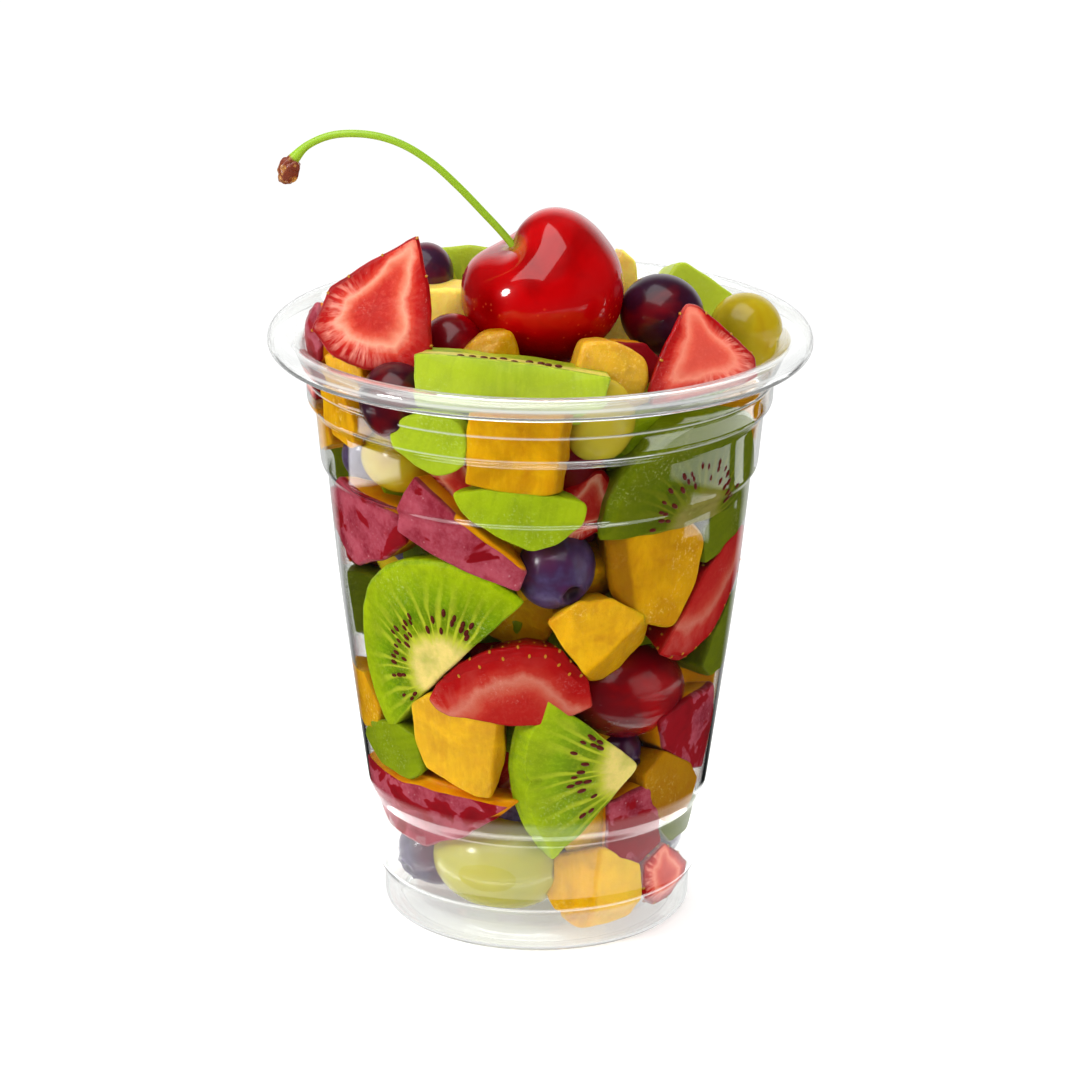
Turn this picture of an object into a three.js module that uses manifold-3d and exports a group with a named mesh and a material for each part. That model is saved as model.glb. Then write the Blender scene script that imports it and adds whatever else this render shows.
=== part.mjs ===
// A clear plastic cup of cut fruit: kiwi, mango, nectarine, strawberry, grapes and blueberries,
// with a whole cherry on its stem on top. Units are millimetres, +Z is up, and the origin is the
// centre of the cup's foot on the table. The front of the cup faces -Y.
import * as THREE from "three";
import { mergeVertices } from "three/addons/utils/BufferGeometryUtils.js";
import Module from "manifold-3d";

const wasm = await Module();
wasm.setup();

// ---------------------------------------------------------------- driving dimensions
const CUP_HEIGHT = 111;
const RIM_RADIUS = 49;
const FOOT_RADIUS = 28.5;
const WALL = 0.6;               // thickness of the plastic
const CUP_SIDES = 32;           // facets round the cup
const FLOOR = 2.8;              // inner floor of the cup
const GAP = 0.35;               // clearance kept between pieces that touch
const CORE_INSET = 7;           // how far the hidden middle of the heap stays behind the wall
const CORE_BOTTOM = 12;
const CORE_TOP = 103;
const CORE_TOP_RADIUS = 28;
const CORE_CROWN = 2;           // rise of the core's top to its middle
const CORE_SIDES = 18;
const ROOM_RADIUS = 60;         // above the lip the room for the fruit is this wide
const ROOM_TOP = 140;           // and ends above the highest fruit
const MEAN_LEAN = 7;            // lean of the wall in degrees
const SHRINK = 0.95;            // cut pieces in the heap stand this much apart
const CUT_TAPER = 0.82;         // size of a cut piece's back as a share of its front
const SLICE_TAPER = 0.9;        // and of a kiwi slice's
const MIDDLE_RING = 0.6;        // place of the ring between the middle and the edge of a face
const WIDE_PIECE = 9;           // half width past which a piece gets that ring to bend along
const SLICE_STEP = 22;          // degrees between the points round a slice
const CORNER_SHARE = 1.3;       // a clearance is this much more along a line to a corner
const FINE_TOPPING = 6.5;       // berries on top with a larger radius than this get more facets
const FINE_BERRY = 9;           // and so do those in the heap past this radius
const BACK_SEED = 20;           // seed of the small changes to the pieces at the back
const BACK_TURN = 12;           // most that a piece at the back is rolled, in degrees
const BACK_LIFT = 1.2;          // most that it is moved up or down
const BACK_GROW = [0.98, 0.05]; // its mean size, and the most it is larger or smaller

// Outer profile of the cup from the foot to the curled lip, as [radius, height].
const OUTER_PROFILE = [
  [0, 2.2], [22.5, 2.2], [24.5, 0], [27.6, 0], [FOOT_RADIUS, 1.4], [28.6, 6], [29.8, 9],
  [29.4, 11.5], [30.1, 20.4], [31.9, 26.9], [38.2, 80], [40.3, 90], [40.4, 94], [42.3, 98],
  [42.6, 106.5], [44.2, 109], [46.4, CUP_HEIGHT - WALL], [48, 109.9], [RIM_RADIUS - WALL, 108.9],
  [48, 107.6],
];
const BASE_POINTS = 4;          // the first points of the profile, under the cup
const LIP_POINTS = 4;           // the last points, where the wall curls over

// ---------------------------------------------------------------- geometry helpers
// Merge a geometry into one closed shell without empty triangles, with its faces outwards.
function closed(geometry) {
  const bare = geometry.clone();
  for (const name of ["normal", "uv"]) bare.deleteAttribute(name);
  const merged = mergeVertices(bare, 1e-4);
  const old = merged.index.array;
  const kept = [];
  for (let i = 0; i < old.length; i += 3) {
    const [a, b, c] = [old[i], old[i + 1], old[i + 2]];
    if (a !== b && b !== c && c !== a) kept.push(a, b, c);
  }
  if (signedVolume(merged.attributes.position, kept) < 0) kept.reverse();
  merged.setIndex(kept);
  return merged;
}

function signedVolume(position, index) {
  const [a, b, c] = [new THREE.Vector3(), new THREE.Vector3(), new THREE.Vector3()];
  let volume = 0;
  for (let i = 0; i < index.length; i += 3) {
    a.fromBufferAttribute(position, index[i]);
    b.fromBufferAttribute(position, index[i + 1]);
    c.fromBufferAttribute(position, index[i + 2]);
    volume += a.dot(b.cross(c)) / 6;
  }
  return volume;
}

function toSolid(geometry) {
  const shell = closed(geometry);
  const mesh = new wasm.Mesh({
    numProp: 3,
    vertProperties: new Float32Array(shell.attributes.position.array),
    triVerts: new Uint32Array(shell.index.array),
  });
  return new wasm.Manifold(mesh);
}

function toGeometry(solid) {
  const mesh = solid.getMesh();
  const geometry = new THREE.BufferGeometry();
  geometry.setAttribute("position", new THREE.BufferAttribute(mesh.vertProperties, 3));
  geometry.setIndex(new THREE.BufferAttribute(mesh.triVerts, 1));
  return geometry;
}

// Keep the biggest body only: sealed hollows are filled and loose scraps dropped.
function oneBody(solid) {
  const bodies = solid.decompose();
  return bodies.reduce((best, body) => (body.volume() > best.volume() ? body : best));
}

// The same small pseudo-random sequence on every run, from 0 to 1.
function seededRandom(seed) {
  let state = seed;
  return () => {
    state = (state * 16807) % 2147483647;
    return state / 2147483647;
  };
}

// ---------------------------------------------------------------- the cup
// Inner radius of the cup at a height: the outer profile less the wall.
function innerRadius(height) {
  const wall = OUTER_PROFILE.slice(BASE_POINTS, -LIP_POINTS);
  for (let i = 1; i < wall.length; i += 1) {
    const [lowRadius, low] = wall[i - 1];
    const [highRadius, high] = wall[i];
    if (height <= high) {
      const share = Math.max(0, (height - low) / (high - low));
      return lowRadius + (highRadius - lowRadius) * share - WALL;
    }
  }
  return wall[wall.length - 1][0] - WALL;
}

// The profile moved to its inner side by a distance measured square to the wall.
function offsetProfile(profile, distance) {
  return profile.map(([radius, height], i) => {
    const [r0, z0] = profile[Math.max(i - 1, 0)];
    const [r1, z1] = profile[Math.min(i + 1, profile.length - 1)];
    const length = Math.hypot(r1 - r0, z1 - z0);
    const moved = radius - (distance * (z1 - z0)) / length;
    return [Math.max(moved, 0), height + (distance * (r1 - r0)) / length];
  });
}

function lathe(profile, sides) {
  const points = profile.map(([radius, height]) => new THREE.Vector2(radius, height));
  const geometry = new THREE.LatheGeometry(points, sides);
  geometry.rotateX(Math.PI / 2);
  return geometry;
}

function cupGeometry() {
  const inside = offsetProfile(OUTER_PROFILE, WALL);
  inside[0][0] = 0;
  return closed(lathe([...OUTER_PROFILE, ...inside.reverse()], CUP_SIDES));
}

// All the room inside the cup, less the clearance: the heap is trimmed to it.
function cavitySolid() {
  const wall = OUTER_PROFILE.slice(BASE_POINTS + 1, -LIP_POINTS);
  const side = wall.map(([radius, height]) => [radius - WALL - GAP, height]);
  const base = [[0, FLOOR + GAP], [innerRadius(FLOOR) - 2, FLOOR + GAP]];
  const [mouth] = side[side.length - 1];
  const above = CUP_HEIGHT + GAP;
  const top = [[mouth + 3, above], [ROOM_RADIUS, above + GAP], [ROOM_RADIUS, ROOM_TOP],
    [0, ROOM_TOP]];
  return toSolid(lathe([...base, ...side, ...top], CUP_SIDES));
}

// ---------------------------------------------------------------- pieces of fruit
const radians = THREE.MathUtils.degToRad;

// A cut piece: a lathe whose rings are drawn out to the outline. The cross-section, from the
// middle of the front to the middle of the back, is a list of [share of the outline, height].
function cutPiece(outline, depth, taper, crown) {
  const front = depth / 2;
  const reach = Math.max(...outline.map(([x]) => Math.abs(x)));
  const ring = [MIDDLE_RING, front + crown * (1 - MIDDLE_RING ** 2)];
  const middle = reach > WIDE_PIECE || crown > 0 ? [ring] : [];
  const section = [[0, front + crown], ...middle, [1, front], [taper, -front], [0, -front]];
  const points = section.map(([share, height]) => new THREE.Vector2(share, height));
  const geometry = new THREE.LatheGeometry(points, outline.length);
  const position = geometry.attributes.position;
  for (let i = 0; i < position.count; i += 1) {
    const [x, y] = outline[Math.floor(i / section.length) % outline.length];
    const [share, height] = section[i % section.length];
    position.setXYZ(i, x * share, y * share, height);
  }
  return geometry;
}

// A berry or grape: an ellipsoid of few sides.
function berry(radii, fineFrom) {
  const detail = Math.max(...radii) > fineFrom ? 2 : 1;
  return new THREE.IcosahedronGeometry(1, detail).scale(...radii);
}

// The outline of a round slice cut to a sector, as [x, y] round the middle of the sector.
function sliceOutline(radius, from, to) {
  const steps = Math.ceil((to - from) / SLICE_STEP);
  const points = [[0, 0]];
  for (let i = 0; i <= steps; i += 1) {
    const angle = radians(from + ((to - from) * i) / steps);
    points.push([radius * Math.cos(angle), radius * Math.sin(angle)]);
  }
  return points;
}

// Move a flat outline so that its mean is the origin; returns the mean as well.
function centred(outline) {
  const mean = [0, 1].map((axis) => outline.reduce((sum, p) => sum + p[axis], 0) / outline.length);
  return { mean, points: outline.map(([x, y]) => [x - mean[0], y - mean[1]]) };
}

// Bend a piece round the wall: x runs round the cup, y runs up, z runs outwards.
function bendToWall(geometry, azimuth, height, inset) {
  const position = geometry.attributes.position;
  const around = innerRadius(height);
  for (let i = 0; i < position.count; i += 1) {
    const angle = radians(azimuth) + position.getX(i) / around;
    const z = height + position.getY(i);
    const radius = innerRadius(z) - inset + position.getZ(i);
    position.setXYZ(i, radius * Math.sin(angle), -radius * Math.cos(angle), z);
  }
  return geometry;
}

// Set a round piece against the wall without bending it.
function standAtWall(geometry, azimuth, height, inset, roll) {
  const radius = innerRadius(height) - inset;
  const angle = radians(azimuth);
  geometry.rotateZ(radians(roll));
  geometry.rotateX(Math.PI / 2 + radians(MEAN_LEAN));
  geometry.rotateZ(angle);
  return geometry.translate(radius * Math.sin(angle), -radius * Math.cos(angle), height);
}

// Pieces against the wall, seen through the cup. An outline is [azimuth, height] round the wall,
// in degrees to the right of the front and millimetres up; inset is the gap to the wall.
const CUTS = [
  { fruit: "kiwi", inset: 0.6, depth: 11, crown: 0,
    outline: [[-37, 103], [-28, 105.5], [-18, 105], [-16, 101], [-19, 95], [-27, 91.5], [-35, 95],
      [-38.5, 99]] },
  { fruit: "mango", inset: 0.8, depth: 12, crown: 0,
    outline: [[-16, 106.5], [7.5, 106], [5.5, 91.5], [-6, 91], [-18.5, 93]] },
  { fruit: "kiwi", inset: 0.6, depth: 12, crown: 0,
    outline: [[52, 73], [50, 80], [60, 87], [75, 88], [86, 85], [86, 77], [72, 75]] },
  { fruit: "mango", inset: 0.8, depth: 11, crown: 0,
    outline: [[-66, 104], [-53, 105], [-50, 99], [-56, 94], [-66, 95]] },
  { fruit: "mango", inset: 0.8, depth: 11, crown: 0,
    outline: [[-88, 98], [-70, 99], [-66, 93], [-80, 89], [-88, 90]] },
  { fruit: "strawberry", inset: 0.8, depth: 9, crown: 0, frontOnly: true,
    outline: [[-86, 100], [-84, 105], [-76, 106], [-69, 104], [-72, 100]] },
  { fruit: "nectarine", inset: 0.8, depth: 11, crown: 0.3,
    outline: [[-82, 74], [-84, 81], [-64, 87.5], [-40, 84], [-38, 79], [-48, 74], [-62, 70.5]] },
  { fruit: "nectarine", inset: 0.8, depth: 11, crown: 0.3,
    outline: [[-42, 81], [-40, 86], [-33.5, 93], [-24, 88], [-2.5, 76.5], [-5, 72.5],
      [-20, 75.5]] },
  { fruit: "kiwi", inset: 0.6, depth: 11, crown: 0,
    outline: [[-23.5, 91], [-14, 92.3], [4, 91.5], [12.5, 90], [12, 86], [6, 82], [-2, 80],
      [-12, 83], [-20, 87]] },
  { fruit: "mango", inset: 0.8, depth: 12, crown: 0,
    outline: [[18, 84], [30, 86], [44, 84], [53, 79], [51, 70], [42, 61.5], [30, 65], [21, 71]] },
  { fruit: "strawberry", inset: 0.8, depth: 9, crown: 0,
    outline: [[36.5, 58], [52, 71.5], [62, 75.5], [76, 76.5], [86, 74], [86, 68], [60, 57],
      [46, 55]] },
  { fruit: "kiwi", inset: 0.7, depth: 12, crown: 0,
    outline: [[58, 52], [62, 58], [72, 63], [86, 65], [87, 52], [76, 48], [64, 49]] },
  { fruit: "mango", inset: 0.8, depth: 11, crown: 0,
    outline: [[2.5, 67], [11, 70.5], [22, 70.5], [36, 65], [44, 60.5], [32, 54], [20, 53],
      [12, 59]] },
  { fruit: "strawberry", inset: 1.2, depth: 11, crown: 0,
    outline: [[-34, 50], [-28, 55], [-16, 60.5], [-4, 62.5], [7, 61], [15, 55], [17, 50],
      [-10, 44]] },
  { fruit: "nectarine", inset: 0.8, depth: 11, crown: 0.3,
    outline: [[40, 45], [52, 47], [70, 47], [76, 40], [72, 29], [60, 31], [44, 38]] },
  { fruit: "mango", inset: 0.9, depth: 11, crown: 0,
    outline: [[36, 34], [44, 38], [60, 33], [68, 28], [64, 21], [50, 22], [38, 26]] },
  { fruit: "kiwi", inset: 0.9, depth: 9, crown: 0, frontOnly: true,
    outline: [[48, 21], [56, 24], [68, 25], [76, 22], [70, 17], [56, 17]] },
  { fruit: "mango", inset: 0.7, depth: 12, crown: 0,
    outline: [[-42, 48], [-34, 51], [-10, 47.5], [-10.5, 38], [-15, 31], [-20, 31], [-38, 35],
      [-42, 40]] },
  { fruit: "kiwi", inset: 0.7, depth: 9, crown: 0,
    outline: [[-76, 35], [-66, 40], [-50, 42.5], [-40, 41], [-39, 34], [-46, 31], [-62, 31.5]] },
  { fruit: "mango", inset: 0.8, depth: 11, crown: 0,
    outline: [[-86, 48], [-66, 49], [-58, 44], [-60, 38], [-74, 36.5], [-86, 38]] },
  { fruit: "nectarine", inset: 0.8, depth: 11, crown: 0.3,
    outline: [[-84, 24], [-80, 31.5], [-40, 32.5], [-5, 30.5], [-26, 22], [-44, 17.5],
      [-66, 18]] },
  { fruit: "mango", inset: 0.9, depth: 11, crown: 0,
    outline: [[4, 19], [12, 21.5], [38, 20], [44, 12], [42, 5], [22, 4.2], [7, 7]] },
  { fruit: "mango", inset: 3, depth: 9, crown: 0, frontOnly: true,
    outline: [[10, 20], [21, 32], [28, 30], [30, 18], [18, 15]] },
  { fruit: "nectarine", inset: 0.8, depth: 10, crown: 0.3,
    outline: [[23, 30], [39, 32], [45, 26], [51, 18], [40, 15], [26, 15.5]] },
  { fruit: "strawberry", inset: 0.9, depth: 9, crown: 0,
    outline: [[41, 15], [52, 18], [64, 13.5], [72, 10], [62, 5], [50, 5], [42, 8]] },
];

// Round slices of kiwi cut to a half or a quarter: core at [azimuth, height], sector in degrees.
const SLICES = [
  { core: [47, 82], radius: 21.5, from: 0, to: 180, inset: 0.7, depth: 10 },
  { core: [-28, 55], radius: 22, from: 45, to: 225, inset: 0.7, depth: 9 },
  { core: [34, 36.5], radius: 22, from: 137, to: 229, inset: 0.7, depth: 9 },
];

// Grapes and blueberries against the wall.
const BERRIES = [
  { at: [-48, 92], inset: 8, radii: [7.8, 6.2, 6.5], roll: 0 },
  { at: [-68, 91], inset: 6.5, radii: [5.5, 5.5, 5.5], roll: 0 },
  { at: [6.5, 74.8], inset: 7.2, radii: [6.7, 6.9, 6.3], roll: 0 },
  { at: [36, 48.7], inset: 7.9, radii: [7.2, 14, 7], roll: 80 },
  { at: [34, 37], inset: 8, radii: [5, 5, 5], roll: 0 },
  { at: [-58, 13.5], inset: 7.3, radii: [6.7, 6.5, 6.5], roll: 0 },
  { at: [-21, 16], inset: 9.9, radii: [9.4, 13, 9.4], roll: 87 },
  { at: [68, 16], inset: 6.8, radii: [5.5, 5.5, 5.5], roll: 0 },
];

// Half a turn round the cup the same kinds of piece lie again, each a little shifted, rolled and
// resized by the seeded rule.
function wallPieces() {
  const random = seededRandom(BACK_SEED);
  const spread = (range) => (random() * 2 - 1) * range;
  const solids = [];
  for (const back of [false, true]) {
    const [size, range] = BACK_GROW;
    const vary = () => (back
      ? { turn: spread(BACK_TURN), grow: size + spread(range), lift: spread(BACK_LIFT) }
      : { turn: 0, grow: 1, lift: 0 });
    const half = back ? 180 : 0;
    for (const cut of CUTS) {
      if (back && cut.frontOnly) continue;
      const { mean, points } = centred(cut.outline);
      const scale = radians(1) * innerRadius(mean[1]);
      const flat = points.map(([x, y]) => [x * scale * SHRINK, y * SHRINK]);
      const { turn, grow, lift } = vary();
      const piece = cutPiece(turned(flat, turn, grow), cut.depth, CUT_TAPER, cut.crown);
      const deep = cut.inset + cut.depth / 2 + cut.crown;
      solids.push(toSolid(bendToWall(piece, mean[0] + half, mean[1] + lift, deep)));
    }
    for (const slice of SLICES) {
      const { mean, points } = centred(sliceOutline(slice.radius, slice.from, slice.to));
      const azimuth = slice.core[0] + THREE.MathUtils.radToDeg(mean[0] / innerRadius(slice.core[1]));
      const { turn, grow, lift } = vary();
      const piece = cutPiece(turned(points, turn, grow), slice.depth, SLICE_TAPER, 0);
      const deep = slice.inset + slice.depth / 2;
      solids.push(toSolid(bendToWall(piece, azimuth + half, slice.core[1] + mean[1] + lift, deep)));
    }
    for (const { at, inset, radii, roll } of BERRIES) {
      const { turn, lift } = vary();
      const ball = berry(radii, FINE_BERRY);
      solids.push(toSolid(standAtWall(ball, at[0] + half, at[1] + lift, inset, roll + turn)));
    }
  }
  return solids;
}

function turned(outline, degrees, grow) {
  const [c, s] = [Math.cos(radians(degrees)) * grow, Math.sin(radians(degrees)) * grow];
  return outline.map(([x, y]) => [x * c - y * s, x * s + y * c]);
}

// ---------------------------------------------------------------- pieces on top
// Each piece on top faces an azimuth; x runs to its right, y up and z towards the viewer. A turn
// is [roll, tilt, yaw] in degrees about z, x and y. Grow thickens it all round for a clearance.
const TOPPINGS = [
  { name: "strawberry_left", color: 0xc8283a, at: [-28.5, -19, 118.5], facing: -8,
    turn: [0, -12, 0], depth: 12, taper: 0.6,
    outline: [[7.5, 13], [9.8, 4.4], [10.5, -6.2], [7.1, -10.3], [-0.9, -10], [-7.1, -7.5],
      [-12.5, -2.7], [-8, 3.6], [-0.9, 9.3]] },
  { name: "strawberry_right", color: 0xc8283a, at: [29, -19.5, 111], facing: 12,
    turn: [0, -12, 0], depth: 10, taper: 0.6,
    outline: [[-2.5, 8], [1.5, 5.5], [5.6, 1.4], [8.6, -2.1], [8.6, -4.8], [5.6, -6.2],
      [-0.6, -7], [-8.6, -8.2], [-9.5, -6], [-6.3, 1.4]] },
  { name: "black_grape", color: 0x2a1026, at: [21.3, -6, 113.8], radii: [7.4, 7.4, 7.4] },
  { name: "green_grape_right", color: 0xb9b84e, at: [36.6, 3, 109.2], radii: [6.7, 6.7, 6.7] },
  { name: "black_grape_back", color: 0x2a1026, at: [-20.5, 8, 118.5], radii: [5.2, 5.2, 5.2] },
  { name: "black_grape_left", color: 0x2a2238, at: [-25.3, -28.2, 104.6], radii: [6.8, 6.8, 6.8] },
  { name: "green_grape_front", color: 0xb9b84e, at: [11, -32.6, 103.5], radii: [6.2, 6.2, 7.4] },
  { name: "kiwi_front", color: 0x9cc21f, at: [-4.8, -30, 110.4], facing: -4, turn: [-5, 0, 0],
    depth: 13, taper: 0.82, crown: 3,
    outline: [[-16.3, 4.6], [-8, 5.2], [8, 5.2], [16.6, 4.6], [14, -4], [6, -5], [-6, -5],
      [-14.5, -4]] },
  { name: "mango_front_right", color: 0xe0a51c, at: [11.5, -23.5, 110], facing: 15,
    turn: [-25, 0, 0], depth: 9, taper: 0.8,
    outline: [[-7, 3], [-2, 5], [5, 4.5], [7.5, 0], [6.5, -4.5], [-6, -5]] },
  { name: "mango_front_left", color: 0xdf8a1c, at: [-9, -21, 111.5], facing: 0,
    turn: [20, 0, 0], depth: 8, taper: 0.8,
    outline: [[-5.5, 2], [0, 4.5], [5.5, 3.5], [5, -4], [-5, -4.5]] },
  { name: "red_grape", color: 0x9c1230, at: [-16, -15, 111.5], radii: [6, 6, 6] },
  { name: "mango_back_left", color: 0xe6c65a, at: [-15, 1.5, 112], facing: -10,
    turn: [0, 0, 0], depth: 11, taper: 0.85,
    outline: [[-6.5, 6], [6, 6.5], [6.5, -6], [-6, -6]] },
  { name: "mango_upright", color: 0xe6c04a, at: [14.2, 7, 114.5], facing: 10,
    turn: [-6, 0, 0], depth: 8, taper: 0.85,
    outline: [[-1, 9.5], [1.6, 7], [3.2, 0], [3, -8.5], [-3, -8.5], [-2.8, 4]] },
  { name: "kiwi_back_left", color: 0x9cc21f, at: [-13, 17, 113], facing: 0,
    turn: [0, -15, 0], depth: 7, taper: 0.9,
    outline: [[-12, -5], [-11, 2], [-6.5, 7.6], [0, 9.6], [6.5, 7.6], [11, 2], [12, -5]] },
  { name: "kiwi_back_right", color: 0x9cc21f, at: [27.4, 16, 112.6], facing: 20,
    turn: [-28, -10, 0], depth: 9, taper: 0.9,
    outline: [[-6, 3], [0, 6], [6, 5], [7, -3], [0, -5], [-6, -4]] },
  { name: "nectarine_left", color: 0x96203c, at: [-36.2, -6.5, 109.2], facing: -75,
    turn: [80, 0, 0], depth: 8, taper: 0.8, crown: 1.5,
    outline: [[-6.5, 0], [-3, 4], [3, 4.2], [6.5, 0], [3, -4], [-3, -4]] },
  { name: "nectarine_right", color: 0x96203c, at: [16.5, -15, 107.5], facing: 20,
    turn: [-50, 0, 0], depth: 7, taper: 0.8, crown: 1,
    outline: [[-7.5, 0], [-3, 4], [3, 4], [7.5, 0], [3, -3.5], [-3, -3.5]] },
  { name: "mango_left", color: 0xe0a51c, at: [-31.5, -17.5, 106.5], facing: -50,
    turn: [10, 0, 0], depth: 8, taper: 0.85,
    outline: [[-5.5, 4], [5, 4.5], [5.5, -4], [-5, -4]] },
  { name: "strawberry_back", color: 0xc8283a, at: [-3, 31.5, 107], facing: 180,
    turn: [8, -20, 0], depth: 9, taper: 0.6,
    outline: [[-10, 3], [-4, 6], [5, 6], [10, 2], [9, -5], [0, -6.5], [-9, -4]] },
  { name: "green_grape_back", color: 0xb9b84e, at: [-22, 27, 105], radii: [6.6, 6.6, 6.6] },
  { name: "mango_back_right", color: 0xe0a51c, at: [16.5, 31, 102], facing: 155,
    turn: [12, -15, 0], depth: 10, taper: 0.85,
    outline: [[-7, 5], [6, 6], [7, -5], [-6, -5.5]] },
  { name: "red_grape_back", color: 0x9c1230, at: [9, 21.5, 107], radii: [6.6, 6.6, 6.6] },
  { name: "kiwi_middle", color: 0x9cc21f, at: [-3, 8.5, 108.5], facing: 170,
    turn: [10, -35, 0], depth: 9, taper: 0.85,
    outline: [[-8, -5], [-7.5, 2], [-4, 6.5], [3, 6.5], [8, 2], [8, -5]] },
  { name: "mango_right", color: 0xe0a51c, at: [22.5, 19, 104.5], facing: 130,
    turn: [-10, -25, 0], depth: 10, taper: 0.85,
    outline: [[-6, 5.5], [6.5, 5], [6, -6], [-6.5, -5]] },
  { name: "blueberry_back", color: 0x39365c, at: [29, 26.5, 103.6], radii: [6, 6, 6] },
  { name: "nectarine_back", color: 0x96203c, at: [-34, 15, 103], facing: 245,
    turn: [-15, -10, 0], depth: 9, taper: 0.8, crown: 1.5,
    outline: [[-8, 0], [-4, 5], [4, 5.5], [9, 1], [4, -4.5], [-4, -4.5]] },
];

function toppingSolid(piece, clearance) {
  let geometry;
  if (piece.radii) {
    geometry = berry(piece.radii.map((radius) => radius + clearance), FINE_TOPPING);
    return toSolid(geometry.translate(...piece.at));
  }
  const grown = piece.outline.map(([x, y]) => {
    const scale = 1 + (clearance * CORNER_SHARE) / Math.hypot(x, y);
    return [x * scale, y * scale];
  });
  geometry = cutPiece(grown, piece.depth + clearance * 2, piece.taper, piece.crown ?? 0);
  const [roll, tilt, yaw] = piece.turn;
  geometry.rotateY(radians(yaw));
  geometry.rotateX(radians(tilt));
  geometry.rotateZ(radians(roll));
  geometry.rotateX(Math.PI / 2);
  geometry.rotateZ(radians(piece.facing));
  return toSolid(geometry.translate(...piece.at));
}

// ---------------------------------------------------------------- the cherry and its stem
const CHERRY = {
  at: new THREE.Vector3(0.2, -8, 120.7),
  radius: 14.3,
  squat: 0.95,                  // its height along the axis as a share of its width
  sides: 16,
  rows: 10,
  axis: new THREE.Vector3(-0.457, -0.187, 0.869).normalize(),
  dimple: 0.3,                  // depth of the stem cavity as a share of the radius
  dimpleWidth: 0.42,            // its half width, in radians from the axis
};

function cherryGeometry(clearance) {
  const points = [];
  for (let i = 0; i <= CHERRY.rows; i += 1) {
    const angle = Math.PI - (Math.PI * i) / CHERRY.rows;
    const dent = CHERRY.dimple * Math.exp(-((angle / CHERRY.dimpleWidth) ** 2));
    const radius = CHERRY.radius * (1 - dent) + clearance;
    const height = radius * Math.cos(angle) * CHERRY.squat;
    points.push(new THREE.Vector2(radius * Math.sin(angle), height));
  }
  points[0].x = 0;
  points[CHERRY.rows].x = 0;
  const geometry = new THREE.LatheGeometry(points, CHERRY.sides);
  const up = new THREE.Vector3(0, 1, 0);
  geometry.applyQuaternion(new THREE.Quaternion().setFromUnitVectors(up, CHERRY.axis));
  return geometry.translate(...CHERRY.at.toArray());
}

// The stem rises out of the cavity, arches over to the left and ends in a woody knob.
const STEM = {
  radius: 0.85,
  sides: 5,
  steps: 16,
  route: [[-4.6, -9.8, 131.2], [-8, -9.2, 133.6], [-13, -8.4, 138], [-20.5, -8, 143.2],
    [-27.5, -8, 146.2], [-34, -8, 147.2], [-39.5, -8, 145.4], [-43.9, -8, 141.8]],
  knob: [-44.6, -8, 140.8],
  knobRadii: [1.9, 1.8, 2.4],
};

function stemSolid() {
  const route = new THREE.CatmullRomCurve3(STEM.route.map((p) => new THREE.Vector3(...p)));
  const section = new THREE.Shape();
  for (let i = 0; i < STEM.sides; i += 1) {
    const angle = (2 * Math.PI * i) / STEM.sides;
    const [x, y] = [STEM.radius * Math.cos(angle), STEM.radius * Math.sin(angle)];
    if (i === 0) section.moveTo(x, y);
    else section.lineTo(x, y);
  }
  const tube = new THREE.ExtrudeGeometry(section, { steps: STEM.steps, extrudePath: route });
  const knob = new THREE.IcosahedronGeometry(1, 1).scale(...STEM.knobRadii);
  return toSolid(tube).add(toSolid(knob.translate(...STEM.knob)));
}

// ---------------------------------------------------------------- the heap
function coreSolid() {
  const levels = [CORE_BOTTOM, 22, 45, 80, 98];
  const side = levels.map((height) => [innerRadius(height) - CORE_INSET, height]);
  const top = [[CORE_TOP_RADIUS, CORE_TOP], [0, CORE_TOP + CORE_CROWN]];
  return toSolid(lathe([[0, CORE_BOTTOM], ...side, ...top], CORE_SIDES));
}

function heapSolid(cutters) {
  let heap = coreSolid();
  for (const piece of wallPieces()) heap = heap.add(piece);
  heap = heap.intersect(cavitySolid());
  for (const cutter of cutters) heap = heap.subtract(cutter);
  return oneBody(heap);
}

// ---------------------------------------------------------------- the group
const group = new THREE.Group();

function addPiece(name, geometry, color, roughness, extra = {}) {
  const material = new THREE.MeshStandardMaterial({ color, roughness, metalness: 0, ...extra });
  const mesh = new THREE.Mesh(geometry, material);
  mesh.name = name;
  group.add(mesh);
}

addPiece("cup", cupGeometry(), 0xf4f7f8, 0.05, { transparent: true, opacity: 0.25 });

// The cherry and its stem keep their shape, and every later piece gives way to the ones before.
const cherry = toSolid(cherryGeometry(0));
const cutters = [toSolid(cherryGeometry(GAP))];
addPiece("cherry", toGeometry(cherry), 0xa8061c, 0.15);
addPiece("cherry_stem", toGeometry(oneBody(stemSolid().subtract(cutters[0]))), 0x7fae2c, 0.5);
const room = cavitySolid();
for (const piece of TOPPINGS) {
  let solid = toppingSolid(piece, 0).intersect(room);
  for (const cutter of cutters) solid = solid.subtract(cutter);
  cutters.push(toppingSolid(piece, GAP));
  addPiece(piece.name, toGeometry(oneBody(solid)), piece.color, 0.3);
}
addPiece("fruit_heap", toGeometry(heapSolid(cutters)), 0x9c8a2a, 0.4);

export default group;
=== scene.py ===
"""A clear plastic cup of cut fruit with a cherry on top: the finish of every piece.

All shapes are worked out in millimetres in the frame's own axes, the front of the cup facing -Y,
and go into the meshes in metres. Each piece of fruit is a closed surface of two parameters,
one round it and one from its front pole to its back pole.
"""
from functools import cache, partial

import bpy
import numpy as np
from bpy.props import FloatProperty, FloatVectorProperty, IntProperty, PointerProperty
from mathutils import Matrix, Vector


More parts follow.
